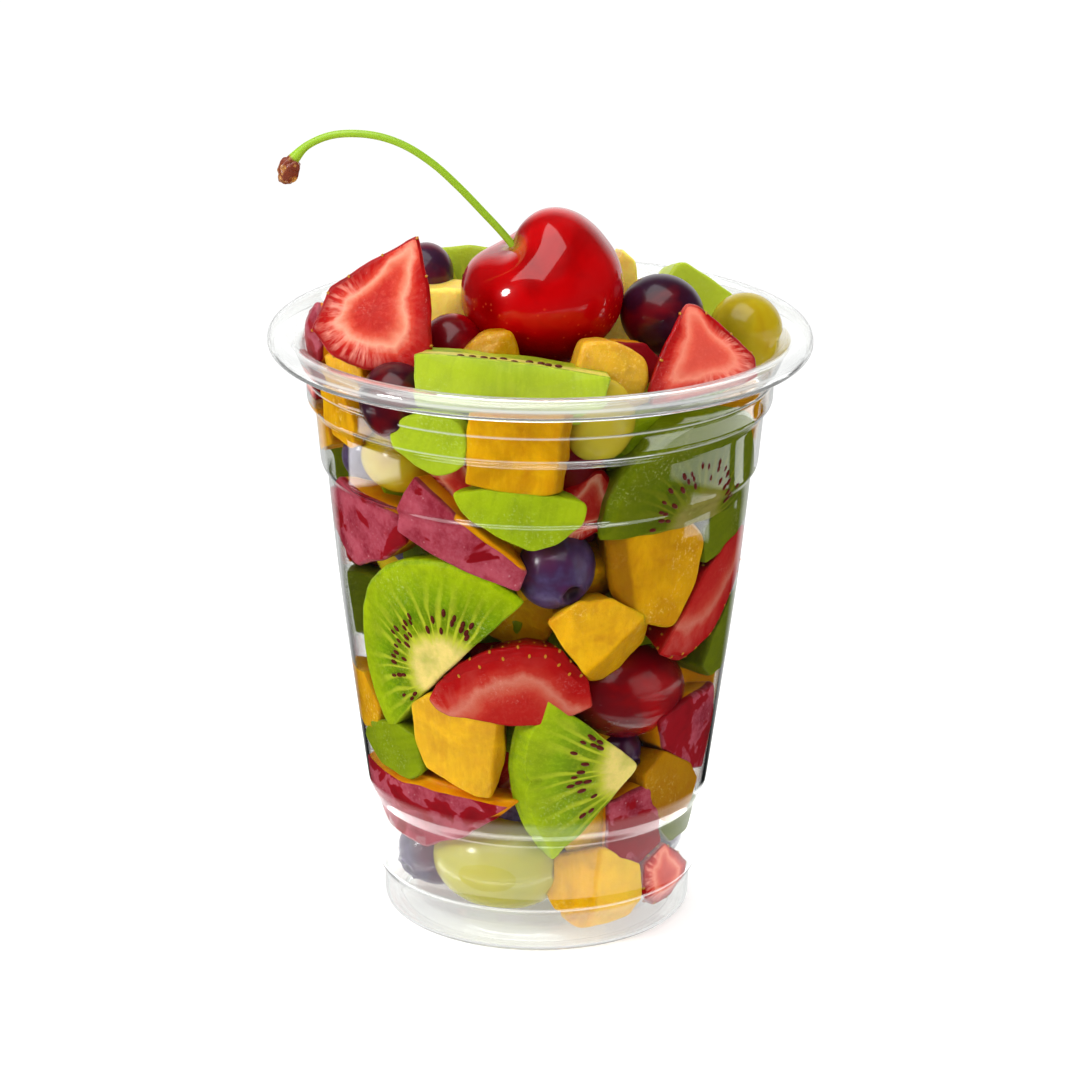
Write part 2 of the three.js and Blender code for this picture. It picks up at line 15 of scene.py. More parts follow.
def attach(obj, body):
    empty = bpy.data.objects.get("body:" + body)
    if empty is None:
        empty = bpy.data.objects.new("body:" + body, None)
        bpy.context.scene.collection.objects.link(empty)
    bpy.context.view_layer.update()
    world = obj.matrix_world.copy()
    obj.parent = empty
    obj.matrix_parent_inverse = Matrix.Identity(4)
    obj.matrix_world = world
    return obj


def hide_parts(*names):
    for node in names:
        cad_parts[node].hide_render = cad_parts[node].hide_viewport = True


bl_info = {
    "name": "Fruit Cup",
    "version": (1, 0, 0),
    "blender": (4, 5, 0),
    "location": "3D View > Sidebar > Fruit Cup",
    "description": "Builds a clear cup of cut fruit round its packed frame",
    "category": "Object",
}

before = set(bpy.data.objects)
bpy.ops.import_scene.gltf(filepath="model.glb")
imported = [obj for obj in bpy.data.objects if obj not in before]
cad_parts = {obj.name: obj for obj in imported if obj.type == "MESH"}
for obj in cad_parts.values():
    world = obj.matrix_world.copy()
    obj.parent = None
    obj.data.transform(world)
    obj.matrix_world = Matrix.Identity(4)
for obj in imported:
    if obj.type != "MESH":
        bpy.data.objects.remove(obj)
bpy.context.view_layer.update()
MM = 0.001
WALL = 0.6            # thickness of the plastic


def srgb(red, green, blue):
    """A screen colour of three numbers up to 255 as the linear colour that shaders take."""
    parts = [value / 255 for value in (red, green, blue)]
    return tuple(v / 12.92 if v < 0.04045 else ((v + 0.055) / 1.055) ** 2.4 for v in parts)


def colour(name, description, default):
    """A colour property."""
    return FloatVectorProperty(name=name, description=description, default=default, size=3,
                               subtype="COLOR", min=0, max=1)


# ------------------------------------------------------------------ the sizes a user changes
class CupSettings(bpy.types.PropertyGroup):
    """The clear cup."""
    wall: FloatProperty(name="Wall", description="Thickness of the plastic", default=WALL * MM,
                        subtype="DISTANCE", unit="LENGTH")
    sides: IntProperty(name="Sides", description="Points round the cup", default=224, min=24)
    tint: colour("Tint", "Colour of the plastic", (0.985, 0.99, 0.985))


class FruitSettings(bpy.types.PropertyGroup):
    """The cut fruit and the berries."""
    step: FloatProperty(name="Step", description="Distance between points on cut fruit",
                        default=0.0006, subtype="DISTANCE", unit="LENGTH")
    seed: IntProperty(name="Seed", description="Start of the small random changes", default=20)
    kiwi: colour("Kiwi", "Green flesh of the kiwi", srgb(134, 158, 0))
    kiwi_core: colour("Kiwi core", "Cream middle of the kiwi", srgb(228, 204, 120))
    mango: colour("Mango", "Flesh of the mango", srgb(224, 160, 0))
    nectarine: colour("Nectarine skin", "Wine-red skin", srgb(136, 6, 20))
    nectarine_flesh: colour("Nectarine flesh", "Orange flesh", srgb(226, 126, 0))
    strawberry: colour("Strawberry skin", "Red skin", srgb(172, 0, 4))
    strawberry_flesh: colour("Strawberry flesh", "Pink flesh", srgb(236, 104, 84))
    green_grape: colour("Green grape", "Yellow-green skin", srgb(196, 170, 14))
    red_grape: colour("Red grape", "Wine-red skin", srgb(124, 0, 10))
    black_grape: colour("Black grape", "Near-black skin", srgb(50, 0, 12))
    blueberry: colour("Blueberry", "Blue skin", srgb(52, 16, 54))


class CherrySettings(bpy.types.PropertyGroup):
    """The cherry and its stem."""
    radius: FloatProperty(name="Radius", description="Radius of the cherry", default=0.0143,
                          subtype="DISTANCE", unit="LENGTH")
    stem: FloatProperty(name="Stem", description="Radius of the stem", default=0.00068,
                        subtype="DISTANCE", unit="LENGTH")
    skin: colour("Skin", "Red of the cherry", srgb(186, 0, 4))
    green: colour("Green", "Green of the stem", srgb(150, 190, 30))
    wood: colour("Wood", "Brown of the stem's end", srgb(120, 48, 22))


class StageSettings(bpy.types.PropertyGroup):
    """The floor, the lamps and the camera."""
    key: FloatProperty(name="Key", description="Power of the overhead softbox", default=7.5,
                       unit="POWER")
    spot: FloatProperty(name="Spot", description="Power of the small round lamp", default=0.9,
                        unit="POWER")
    side: FloatProperty(name="Side", description="Power of each side softbox", default=1.1,
                        unit="POWER")
    back: FloatProperty(name="Back", description="Power of the softbox behind and above",
                        default=2.0, unit="POWER")
    backdrop: FloatProperty(name="Backdrop", description="Brightness of the white backdrop",
                            default=1.0)


GROUPS = {"fruit_cup_cup": CupSettings, "fruit_cup_fruit": FruitSettings,
          "fruit_cup_cherry": CherrySettings, "fruit_cup_stage": StageSettings}


# ------------------------------------------------------------------ the cup's wall
# Outside of the cup from the foot to the curled lip, as (radius, height).
OUTER_PROFILE = np.array([
    (0, 2.2), (22.3, 2.2), (23.4, 1.5), (24.4, 0.2), (24.9, 0), (27.4, 0), (28.1, 0.4),
    (28.5, 1.2), (28.5, 5), (28.6, 6), (29.0, 7), (29.55, 8.0), (29.75, 8.7), (29.6, 9.5),
    (29.4, 11.5), (29.7, 16.5), (29.95, 19.4), (30.1, 21.2), (30.4, 21.9), (31.2, 23.6),
    (31.45, 24.3), (31.9, 27.5), (33.5, 39.5), (35.6, 55.5), (36.9, 66.5), (38.1, 79.3),
    (38.18, 80.1), (38.5, 84.0), (38.8, 84.8), (39.5, 85.6), (39.74, 86.2), (39.82, 86.8),
    (40.58, 95.4), (40.66, 96.0), (40.9, 96.5), (41.85, 97.5), (42.12, 98.0), (42.18, 98.5),
    (42.2, 99.0), (42.25, 101.5), (42.29, 101.95), (42.6, 102.35), (42.72, 102.9),
    (42.86, 104.6), (43.02, 106.6), (43.1, 108.0), (43.9, 108.9), (45.0, 109.7), (46.4, 110.4),
    (47.4, 110.4), (48.2, 109.9), (48.6, 109.0), (48.5, 108.1), (48.0, 107.6),
])
WALL_POINTS = slice(8, 45)      # the part of the profile that the fruit lies against


def inner_radius(height):
    """Inside radius of the cup at each height: the outer profile less the wall."""
    radius, level = OUTER_PROFILE[WALL_POINTS].T
    return np.interp(height, level, radius) - WALL


def smooth_line(points, rounds):
    """Corner cutting: each pass puts two points at a quarter and three quarters of each step."""
    points = np.asarray(points, float)
    for _ in range(rounds):
        low, high = points[:-1], points[1:]
        cut = np.stack([0.75 * low + 0.25 * high, 0.25 * low + 0.75 * high], 1).reshape(-1, 2)
        points = np.vstack([points[:1], cut, points[-1:]])
    return points


def offset_line(points, distance):
    """Each point moved to the left of the line's direction there by the distance."""
    ahead = np.vstack([points[1:], points[-1:]]) - np.vstack([points[:1], points[:-1]])
    ahead /= np.linalg.norm(ahead, axis=1, keepdims=True)
    moved = points + distance * np.stack([-ahead[:, 1], ahead[:, 0]], 1)
    return np.stack([np.maximum(moved[:, 0], 0), moved[:, 1]], 1)


# ------------------------------------------------------------------ meshes
class Pile:
    """Closed surfaces of one kind gathered into one mesh, with the values that colour them."""

    def __init__(self):
        self.points, self.loops, self.sizes, self.count = [], [], [], 0
        self.values = {"fruit": [], "skin": [], "tone": [], "seed": []}

    def add(self, grid, fruit=None, skin=0.0, tone=0.0, seed=0.0):
        """A grid of rows from pole to pole, each row closed round; its end rows are points.

        The quads run row, next row, next row's next point, so a grid whose rows go round
        anticlockwise about the way from last to first row faces outwards.
        """
        rows, around = grid.shape[:2]
        shape = (rows, around)
        fruit = grid if fruit is None else fruit
        pick = np.zeros(shape, bool)
        pick[1:-1] = True
        pick[0, 0] = pick[-1, 0] = True
        self.points.append(grid[pick])
        self.values["fruit"].append(np.broadcast_to(fruit, grid.shape)[pick])
        for name, value in (("skin", skin), ("tone", tone), ("seed", seed)):
            self.values[name].append(np.broadcast_to(value, shape)[pick])
        ids = np.zeros(shape, np.int64)
        ids[pick] = np.arange(pick.sum()) + self.count
        ids[0], ids[-1] = ids[0, 0], ids[-1, 0]
        after = np.roll(ids, -1, 1)
        quads = np.stack([ids[1:-2], ids[2:-1], after[2:-1], after[1:-2]], -1).reshape(-1, 4)
        first = np.stack([ids[0], ids[1], after[1]], -1)
        last = np.stack([ids[-2], ids[-1], after[-2]], -1)
        for faces in (quads, first, last):
            self.loops.append(faces.ravel())
            self.sizes.append(np.full(len(faces), faces.shape[1]))
        self.count += int(pick.sum())

    def object(self, name, material):
        """The gathered surfaces as one smooth mesh object in metres."""
        mesh = bpy.data.meshes.new(name)
        points = np.vstack(self.points) * MM
        loops, sizes = np.concatenate(self.loops), np.concatenate(self.sizes)
        mesh.vertices.add(len(points))
        mesh.vertices.foreach_set("co", points.astype(np.float32).ravel())
        mesh.loops.add(len(loops))
        mesh.loops.foreach_set("vertex_index", loops.astype(np.int32))
        mesh.polygons.add(len(sizes))
        starts = np.concatenate([[0], np.cumsum(sizes)[:-1]])
        mesh.polygons.foreach_set("loop_start", starts.astype(np.int32))
        mesh.update(calc_edges=True)
        mesh.validate()
        for key, parts in self.values.items():
            kind = "FLOAT_VECTOR" if key == "fruit" else "FLOAT"
            values = np.concatenate(parts).astype(np.float32)
            layer = mesh.attributes.new(key, kind, "POINT")
            layer.data.foreach_set("vector" if key == "fruit" else "value", values.ravel())
        mesh.shade_smooth()
        mesh.materials.append(material)
        made = bpy.data.objects.new(name, mesh)
        bpy.context.scene.collection.objects.link(made)
        return made


def hand_in(made, slot, *nodes):
    """Let a piece ride on the body and stand for its CAD nodes; its slot is not used."""
    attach(made, "root")
    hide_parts(*nodes)


# ------------------------------------------------------------------ surfaces
OUTLINE_POINTS = 1024       # on an outline while its corners are rounded
WAVES = 7                   # sines in a random field


def even_outline(points, step, soft):
    """A closed polygon walked at an even pace, anticlockwise, with its corners rounded.

    Its Fourier terms fade as exp(-(k soft)^2 / 2) with k in radians per mm of its length.
    """
    points = np.asarray(points, float)
    following = np.roll(points, -1, 0)
    if np.sum(points[:, 0] * following[:, 1] - following[:, 0] * points[:, 1]) < 0:
        points = points[::-1]
    closed = np.vstack([points, points[:1]])
    along = np.concatenate([[0], np.cumsum(np.linalg.norm(np.diff(closed, axis=0), axis=1))])
    at = np.linspace(0, along[-1], OUTLINE_POINTS, endpoint=False)
    line = np.interp(at, along, closed[:, 0]) + 1j * np.interp(at, along, closed[:, 1])
    wave = 2 * np.pi * np.fft.fftfreq(OUTLINE_POINTS, along[-1] / OUTLINE_POINTS)
    line = np.fft.ifft(np.fft.fft(line) * np.exp(-0.5 * (wave * soft) ** 2))
    count = max(int(along[-1] / step), 24)
    picked = line[(np.arange(count) * OUTLINE_POINTS) // count]
    return np.stack([picked.real, picked.imag], 1)


def waves(points, size, seed):
    """A smooth random field from -1 to 1: a mean of sines along random directions."""
    random = np.random.default_rng(seed)
    ways = random.normal(size=(WAVES, 3))
    ways *= (2 * np.pi / size * random.uniform(0.6, 1.5, (WAVES, 1))
             / np.linalg.norm(ways, axis=1, keepdims=True))
    phases = random.uniform(0, 2 * np.pi, WAVES)
    return np.sin(points @ ways.T + phases).mean(-1) * 1.6


def close_poles(points):
    """The grid with each of its end rows drawn together in one point."""
    points[0], points[-1] = points[0].mean(0), points[-1].mean(0)
    return points


def wobble(points, size, amount, seed):
    """Points moved by a smooth random field in each axis."""
    return points + amount * np.stack([waves(points, size, seed + axis) for axis in range(3)], -1)


EDGE_TURNS = np.radians((22, 45, 68, 90))      # steps round the front edge of a cut piece
BACK_TURNS = np.radians((30, 60, 90))          # and round its back edge
PEEL_FADE = 6          # degrees over which a peel fades out at its ends
RIDGE_ROUND = 0.5      # how round a ridge is, as the square of a length
RIDGE_FADE = 0.8       # how far on either side of a ridge its shade fades
DEEPEST = 0.8          # the largest share of its depth that a face may fall back


def cut_rings(reach, depth, taper, crown, edge, width, peeled, step):
    """The rings of a cut piece, as a column each of share, inset, height, strip and side.

    Strip is 1 from the start of the peel on, and side is 1 beyond the front edge.
    """
    front = depth / 2
    rings = []
    for share in np.linspace(0, 1, max(int(reach / step), 5)):
        rings.append((share, width * share, front + crown * (1 - share ** 2), 0, 0))
    if peeled:
        for inset in np.linspace(width - 0.12, edge, max(int(width / step), 2)):
            rings.append((1, inset, front, 1, 0))
    for turn in EDGE_TURNS:
        rings.append((1, edge * (1 - np.sin(turn)), front - edge * (1 - np.cos(turn)), 1, 0.5))
    for part in np.linspace(0, 1, max(int(depth / step / 1.6), 3))[1:]:
        share = 1 - (1 - taper) * part
        rings.append((share, 0, front - edge - (depth - 2 * edge) * part, 1, 1))
    for turn in BACK_TURNS:
        rings.append((taper, edge * (1 - np.cos(turn)), -front + edge * (1 - np.sin(turn)), 1, 1))
    for share in np.linspace(1, 0, 5)[1:]:
        rings.append((taper * share, edge * share, -front, 1, 1))
    return np.array(rings).T


def peel_mask(outline, start, end):
    """1 at the points of the outline between the two angles, fading to 0 at both ends."""
    angle = np.degrees(np.arctan2(outline[:, 1], outline[:, 0])) % 360
    middle, half = (start + end) / 2 % 360, (end - start) / 2
    away = np.abs((angle - middle + 180) % 360 - 180)
    return np.clip((half - away) / PEEL_FADE + 0.5, 0, 1)


def past_ridges(flat, ridges):
    """How far flat points fall back beyond the ridges, and the painted shade: 1 beyond any."""
    fall, painted_shade = np.zeros(flat.shape[:2]), np.zeros(flat.shape[:2])
    for (x0, y0), (x1, y1), slope in ridges:
        along = np.array([x1 - x0, y1 - y0]) / np.hypot(x1 - x0, y1 - y0)
        beyond = (flat[..., 0] - x0) * along[1] - (flat[..., 1] - y0) * along[0]
        fall += slope * (beyond + np.sqrt(beyond ** 2 + RIDGE_ROUND)) / 2
        painted_shade = np.maximum(painted_shade, np.clip(beyond / RIDGE_FADE + 0.5, 0, 1))
    return fall, painted_shade


def cut_surface(outline, depth, taper=0.82, crown=0.0, edge=0.7, peel=None, ridges=(), step=0.7):
    """A cut piece: rings drawn to the outline, from the middle of the front to that of the back.

    A ring is outline * share less an inset square to the middle. Its height is the front plus
    a crown falling with the square of the share. A peel is (width, slope, from, to): that strip
    inside the outline, between those angles, falls back by slope times the distance. A ridge is
    a line with a slope: what lies to its right falls back likewise. Returns the points, and how
    far each lies on the side, on the peel and beyond a ridge.
    """
    front = depth / 2
    reach = np.linalg.norm(outline, axis=1)
    width, slope, start, end = peel or (edge, 0.0, 0.0, 0.0)
    width = max(width, edge)
    share, inset, height, strip, side = cut_rings(reach.max(), depth, taper, crown, edge, width,
                                                  bool(peel), step)
    unit = outline / reach[:, None]
    flat = outline[None] * share[:, None, None] - unit[None] * inset[:, None, None]
    mask = peel_mask(outline, start, end) if peel else np.zeros(len(outline))
    fall_back = slope * np.where(strip > 0, width - np.maximum(inset, edge), 0)
    fall_back = np.where(side > 0, slope * (width - edge), fall_back)
    # The share beyond a ridge is painted shade: add_cut darkens the face there, as if it turned
    # from the light.
    ridge_fall, beyond = past_ridges(flat, ridges)
    drop = np.minimum(fall_back[:, None] * mask[None] + ridge_fall, depth * DEEPEST)
    level = -front + (height[:, None] + front) * (1 - drop / depth)
    points = close_poles(np.concatenate([flat, level[..., None]], -1))
    return points, side[:, None] + 0 * mask[None], strip[:, None] * mask[None], beyond


def ball(radii, rows=28, around=40, gather=1.0):
    """An ellipsoid with its poles along z: latitude runs down the rows, longitude round them.

    The rows lie closer at the first pole as the power called gather grows.
    """
    down = np.pi * np.linspace(0, 1, rows)[:, None] ** gather
    turn = np.linspace(0, 2 * np.pi, around, endpoint=False)[None]
    grid = np.stack([np.sin(down) * np.cos(turn), np.sin(down) * np.sin(turn),
                     np.cos(down) + 0 * turn], -1)
    return grid, grid * np.array(radii)


MEAN_LEAN = 7.0       # degrees that the wall leans outwards, on the whole


def rotation(axis, degrees):
    """Rotation matrix about x, y or z."""
    return np.array(Matrix.Rotation(np.radians(degrees), 3, axis))


def bend_to_wall(points, azimuth, height, inset):
    """x runs round the cup, y up and z outwards from the wall less the inset."""
    around = inner_radius(height)
    angle = np.radians(azimuth) + points[..., 0] / around
    level = height + points[..., 1]
    radius = inner_radius(level) - inset + points[..., 2]
    return np.stack([radius * np.sin(angle), -radius * np.cos(angle), level], -1)


def stand_at_wall(points, azimuth, height, inset, roll, pitch=0.0, yaw=0.0):
    """A round piece turned and set against the wall without bending it."""
    turn = rotation("Z", azimuth) @ rotation("X", 90 + MEAN_LEAN) @ rotation("Z", roll)
    turn = turn @ rotation("X", pitch) @ rotation("Y", yaw)
    radius, angle = inner_radius(height) - inset, np.radians(azimuth)
    place = np.array([radius * np.sin(angle), -radius * np.cos(angle), height])
    return points @ turn.T + place


def facing(points, at, azimuth, turn):
    """A piece on top: turned by roll, tilt and yaw, then to face the azimuth, and placed."""
    roll, tilt, yaw = turn
    matrix = rotation("Z", azimuth) @ rotation("X", 90) @ rotation("Z", roll)
    matrix = matrix @ rotation("X", tilt) @ rotation("Y", yaw)
    return points @ matrix.T + np.array(at)


# ------------------------------------------------------------------ the pieces in the heap
PRESS = 0.45          # the foremost fruit against the wall reaches this far into it
RANK = 0.13           # and each one behind another this much less
SHRINK = 0.985        # a cut piece is this much smaller than its outline, to part it from others
# Painted shade: a face beyond a ridge is painted darker, as if turned away from the light.
RIDGE_SHADE = 0.68    # how much darker a cut face is beyond a ridge
KIWI_STEP = 1.3       # kiwi has the most pieces, so its points lie this much further apart
PATTERN_STEP = np.array((7.3, 3.1, 0))      # how a colour pattern shifts from seed to seed
BROAD, FINE = 7.0, 2.2      # lengths of the two waves that make a face uneven
FINE_SHARE = 0.25           # height of the fine one, as a share of the broad one's
FLATTEN = 0.3               # share of that unevenness left on a face pressed to the wall
# Cut pieces against the wall, each an outline in (azimuth, height) round it. The foremost have
# rank 0, and an inset is how much deeper a piece lies. A ridge is two such points and the slope
# to its right, and a peel (width, slope, from, to) in the piece's own angles. The grain is the
# way the kiwi's own axis lies. A piece with front set isn't repeated on the back half.
CUTS = [
    dict(rank=0, fruit="kiwi", depth=11, tone=0.35, grain=("level", 60, 17), soft=1.7,
         outline=[(-38, 103), (-29, 105.5), (-18, 105), (-16.5, 100), (-19, 95.5), (-26, 93),
                  (-34, 95), (-39.5, 99)]),
    dict(rank=2, fruit="mango", depth=12, tone=-0.2, ridges=[((3.6, 88), (5.6, 108), 0.9)],
         outline=[(-17, 106.5), (8.5, 106), (6.5, 91.2), (-6, 91), (-19, 92.8)]),
    dict(rank=2, fruit="kiwi", depth=12, tone=-0.9, grain=("level", 10, 18),
         outline=[(52, 73), (50, 80), (60, 87), (75, 88), (86, 85), (86, 77), (72, 75)]),
    dict(fruit="mango", depth=11, tone=-0.1,
         outline=[(-66, 104), (-53, 105), (-50, 99), (-56, 94), (-66, 95)]),
    dict(fruit="mango", depth=11, tone=-0.3,
         outline=[(-88, 98), (-70, 99), (-66, 93), (-80, 89), (-88, 90)]),
    dict(fruit="strawberry", depth=9, front=True, tone=0,
         outline=[(-86, 100), (-84, 105), (-76, 106), (-69, 104), (-72, 100)]),
    dict(fruit="nectarine", depth=11, crown=0.3, tone=0,
         outline=[(-82, 74), (-84, 81), (-64, 87.5), (-40, 84), (-38, 79), (-48, 74),
                  (-62, 70.5)]),
    dict(rank=0, fruit="nectarine", depth=11, crown=0.3, tone=0.4, peel=(1.0, 1.4, -20, 75),
         outline=[(-42, 81), (-40, 86), (-33.5, 93), (-24, 88), (-2.5, 76.5), (-5, 72.5),
                  (-20, 75.5)]),
    dict(fruit="kiwi", depth=11, tone=0.1, grain=("level", 80, 19), soft=1.1,
         outline=[(-23.5, 91), (-14, 92.3), (4, 91.5), (12.5, 90), (12, 86), (6, 82), (-2, 80),
                  (-12, 83), (-20, 87)]),
    dict(rank=2, fruit="mango", depth=12, tone=-0.4, soft=1.6, edge=1.8,
         ridges=[((22, 88), (30, 60), 0.35)],
         outline=[(18, 84), (30, 86), (44, 84), (53, 79), (51, 70), (42, 61.5), (30, 65),
                  (21, 71)]),
    dict(rank=0, fruit="strawberry", depth=9, tone=-0.9, peel=(1.6, 0.8, 215, 372),
         outline=[(36.5, 58), (52, 71.5), (62, 75.5), (76, 76.5), (86, 74), (86, 68), (60, 57),
                  (46, 55)]),
    dict(rank=2, fruit="kiwi", depth=12, tone=-0.9, grain=("level", 0, 18),
         outline=[(58, 52), (62, 58), (72, 63), (86, 65), (87, 52), (76, 48), (64, 49)]),
    dict(fruit="mango", depth=11, tone=0.1, ridges=[((14.2, 56.6), (28.4, 65), 0.6)],
         outline=[(2, 67), (11, 70.8), (21, 70.8), (31, 67), (35.5, 63.5), (37, 59.5),
                  (28, 55.5), (21, 53.8), (16, 54.2), (9, 60)]),
    dict(rank=0.5, fruit="strawberry", depth=11, tone=-0.8, peel=(2.1, 0.4, 8, 178),
         outline=[(-35, 49), (-31.5, 52.8), (-24, 57.5), (-14, 61), (-4, 62.5), (7, 61.5),
                  (15, 55.5), (17, 50), (4, 46.5), (-12, 46.3), (-28, 46.8), (-33, 47.6)]),
    dict(fruit="nectarine", depth=11, crown=0.3, tone=-0.4,
         outline=[(40, 45), (52, 47), (70, 47), (76, 40), (72, 29), (60, 31), (44, 38)]),
    dict(rank=2, fruit="mango", depth=11, tone=-0.9,
         outline=[(36, 34), (44, 38), (60, 33), (68, 28), (64, 21), (50, 22), (38, 26)]),
    dict(rank=2, fruit="kiwi", depth=9, front=True, tone=-0.9, grain=("level", 0, 15),
         outline=[(48, 21), (56, 24), (68, 25), (76, 22), (70, 17), (56, 17)]),
    dict(rank=1.6, fruit="mango", depth=12, tone=0.25, ridges=[((-15.5, 28), (-11.5, 50), 0.9)],
         outline=[(-42, 48), (-34, 51), (-10, 47.5), (-10.5, 38), (-15, 31), (-20, 31),
                  (-38, 35), (-42, 40)]),
    dict(rank=2, fruit="kiwi", depth=9, tone=-0.45, grain=("level", 20, 17), soft=0.9,
         outline=[(-76, 35), (-66, 40), (-50, 42.5), (-40, 41), (-39, 34), (-46, 31),
                  (-62, 31.5)]),
    dict(rank=2, fruit="mango", depth=11, tone=-0.3,
         outline=[(-86, 48), (-66, 49), (-58, 44), (-60, 38), (-74, 36.5), (-86, 38)]),
    dict(fruit="nectarine", depth=11, crown=0.3, tone=-0.2, peel=(2.0, 1.3, 8, 176),
         outline=[(-84, 24), (-80, 31.5), (-40, 32.5), (-5, 30.5), (-26, 22), (-44, 17.5),
                  (-66, 18)]),
    dict(fruit="mango", depth=11, tone=0.7, soft=1.0, ridges=[((24, 22), (20, 2), 0.35)],
         outline=[(2, 12), (8, 19), (25, 20.5), (41, 15.5), (42, 9), (38, 4.6), (27, 4.4),
                  (16, 3.8), (7, 7)]),
    dict(fruit="mango", inset=3, depth=9, front=True, tone=0.2,
         outline=[(10, 20), (21, 32), (28, 30), (30, 18), (18, 15)]),
    dict(rank=0, fruit="nectarine", depth=10, crown=0.3, tone=-0.5,
         outline=[(23, 30), (39, 32), (45, 26), (51, 18), (40, 15), (26, 15.5)]),
    dict(rank=2, fruit="strawberry", depth=9, tone=0.6,
         outline=[(41, 15), (52, 18), (64, 13.5), (72, 10), (62, 5), (50, 5), (42, 8)]),
]
# Kiwi slices cut to a sector round their core, with the width of skin that shows at the rim.
SLICES = [
    dict(rank=0, core=(47, 82), radius=21.5, start=0, end=180, depth=10, rim=2.2, tone=-0.9),
    dict(rank=2, core=(-28, 55), radius=22, start=45, end=225, depth=9, rim=1.2, tone=-0.05),
    dict(rank=0, core=(34, 36.5), radius=25, start=138, end=228, depth=9, rim=6.5, tone=0.1,
         soft=1.1),
]
# Round fruit against the wall: its place, how deep its middle lies and, for some, how it is
# rolled, its tone and the pole its stem end points to: right, up and out of the wall.
BERRIES = [
    dict(kind="green_grape", at=(-48, 92), inset=8, radii=(7.8, 6.2, 6.5), tone=0.2),
    dict(kind="blueberry", at=(-68, 91), inset=6.5, radii=(5.5, 5.5, 5.5)),
    dict(kind="blueberry", at=(6.5, 74.8), inset=7, radii=(6.9, 7.0, 6.6),
         pole=(0.33, -0.32, 0.89)),
    dict(kind="red_grape", at=(36, 48.7), inset=8.3, radii=(8.4, 12.6, 8.4), roll=80),
    dict(kind="blueberry", at=(34, 37), inset=8, radii=(5, 5, 5)),
    dict(kind="blueberry", at=(-58, 13.5), inset=7.3, radii=(6.7, 6.5, 6.5)),
    dict(kind="green_grape", at=(-21, 14.9), inset=10.6, radii=(10.5, 13, 10.1), roll=87,
         tone=0.5),
    dict(kind="blueberry", at=(68, 16), inset=6.8, radii=(5.5, 5.5, 5.5)),
]
GRAPES = ("green_grape", "red_grape")
GRAPE_POLE = (0.1, -1, 0.25)       # where a grape's stem end points when nothing else is said
# Deeper fruit that shows between the pieces at the front: kind, place, inset, radii, roll.
DEEP = [
    ("red_grape", (11, 94), 11, (6, 8, 6), 20),
    ("mango", (-7, 79), 12, (7, 6, 5), 10),
    ("strawberry", (14, 87), 11, (7, 6, 5), 30),
    ("mango", (-3, 66), 13, (8, 6, 5), 60),
    ("strawberry", (-23, 92), 9.5, (5, 6, 5), 40),
]
# The second layer: how many pieces it has, between which heights, and of which kinds.
FILL_COUNT = 150
FILL_FROM, FILL_RISE = 15, 88
FILL_KINDS = ("mango", "strawberry", "kiwi", "nectarine", "red_grape", "mango", "kiwi",
              "blueberry", "strawberry", "green_grape")
FILL_RADII = np.array((6.5, 6.0, 5.0))
FILL_SEED, DEEP_SEED = 500, 900      # seeds of the first filling and the first deep piece
CLEAR = 8             # the middle that the second layer leaves to the core of the heap
GOLDEN_ANGLE = 137.508
CHUNKS = ([(-6, -5), (6, -5.5), (5.5, 5.5), (-5.5, 5)],
          [(-6.5, -4), (1, -6), (6.5, -2), (4.5, 5), (-4.5, 5.5)])
CHUNK_REACH = 6.0     # half the width of such a chunk's outline
CORE_FROM, CORE_RISE = 16, 86        # the hidden core's foot and height
CORE_INSET = 13                      # and how far it stays inside the wall


class Piles(dict):
    """One pile for each kind of fruit, made when it is first asked for."""

    def __missing__(self, kind):
        """An empty pile for a kind that has none yet."""
        self[kind] = Pile()
        return self[kind]


# ------------------------------------------------------------------ places within the fruit
PEELED = 2.3          # what a kiwi has lost between its skin and a face cut along its axis
VEINS_FROM = 16       # how far inside a strawberry slice's skin its veins come together
TIP_SKIN = 0.33       # how much thicker a strawberry's rim is at its tip, as a share
TIP_WIDTH = 0.38      # and over what angle


def axis_out(points, x, y, radius):
    """The kiwi's axis comes straight out of the face through that point."""
    return (points - np.array((x, y, 0))) / radius


def axis_level(points, degrees, depth):
    """The axis lies behind the face by the depth, at that angle in its plane."""
    angle, radius = np.radians(degrees), depth + PEELED
    along = points[..., 0] * np.cos(angle) + points[..., 1] * np.sin(angle)
    across = points[..., 1] * np.cos(angle) - points[..., 0] * np.sin(angle)
    level = (points[..., 2] - points[..., 2].max() + depth) * 1.02
    return np.stack([across, level, along], -1) / radius


def axis_across(points, y, depth, radius):
    """The axis runs from left to right at that height and that far behind the face."""
    level = points[..., 2] - points[..., 2].max() + depth
    return np.stack([points[..., 1] - y, level, points[..., 0]], -1) / radius


KIWI_AXES = {"out": axis_out, "level": axis_level, "across": axis_across}


def kiwi_space(points, grain):
    """Places in the kiwi it was cut from: x and y across its axis, z along it, skin at 1.

    The grain is the name of the way the axis lies and the numbers that go with it.
    """
    way, *numbers = grain
    return KIWI_AXES[way](points, *numbers)


def from_skin(points, ring, peel):
    """How far each point lies from the peeled part of the outline, and which way that part is."""
    _, _, start, end = peel
    angle = np.degrees(np.arctan2(ring[:, 1], ring[:, 0]))
    near = ring[(angle - start) % 360 < end - start]
    away = np.linalg.norm(points[:, :, None, :2] - near[None, None, ::3], axis=-1).min(-1)
    outward = near.mean(0)
    return away / away.max(), outward / np.linalg.norm(outward)


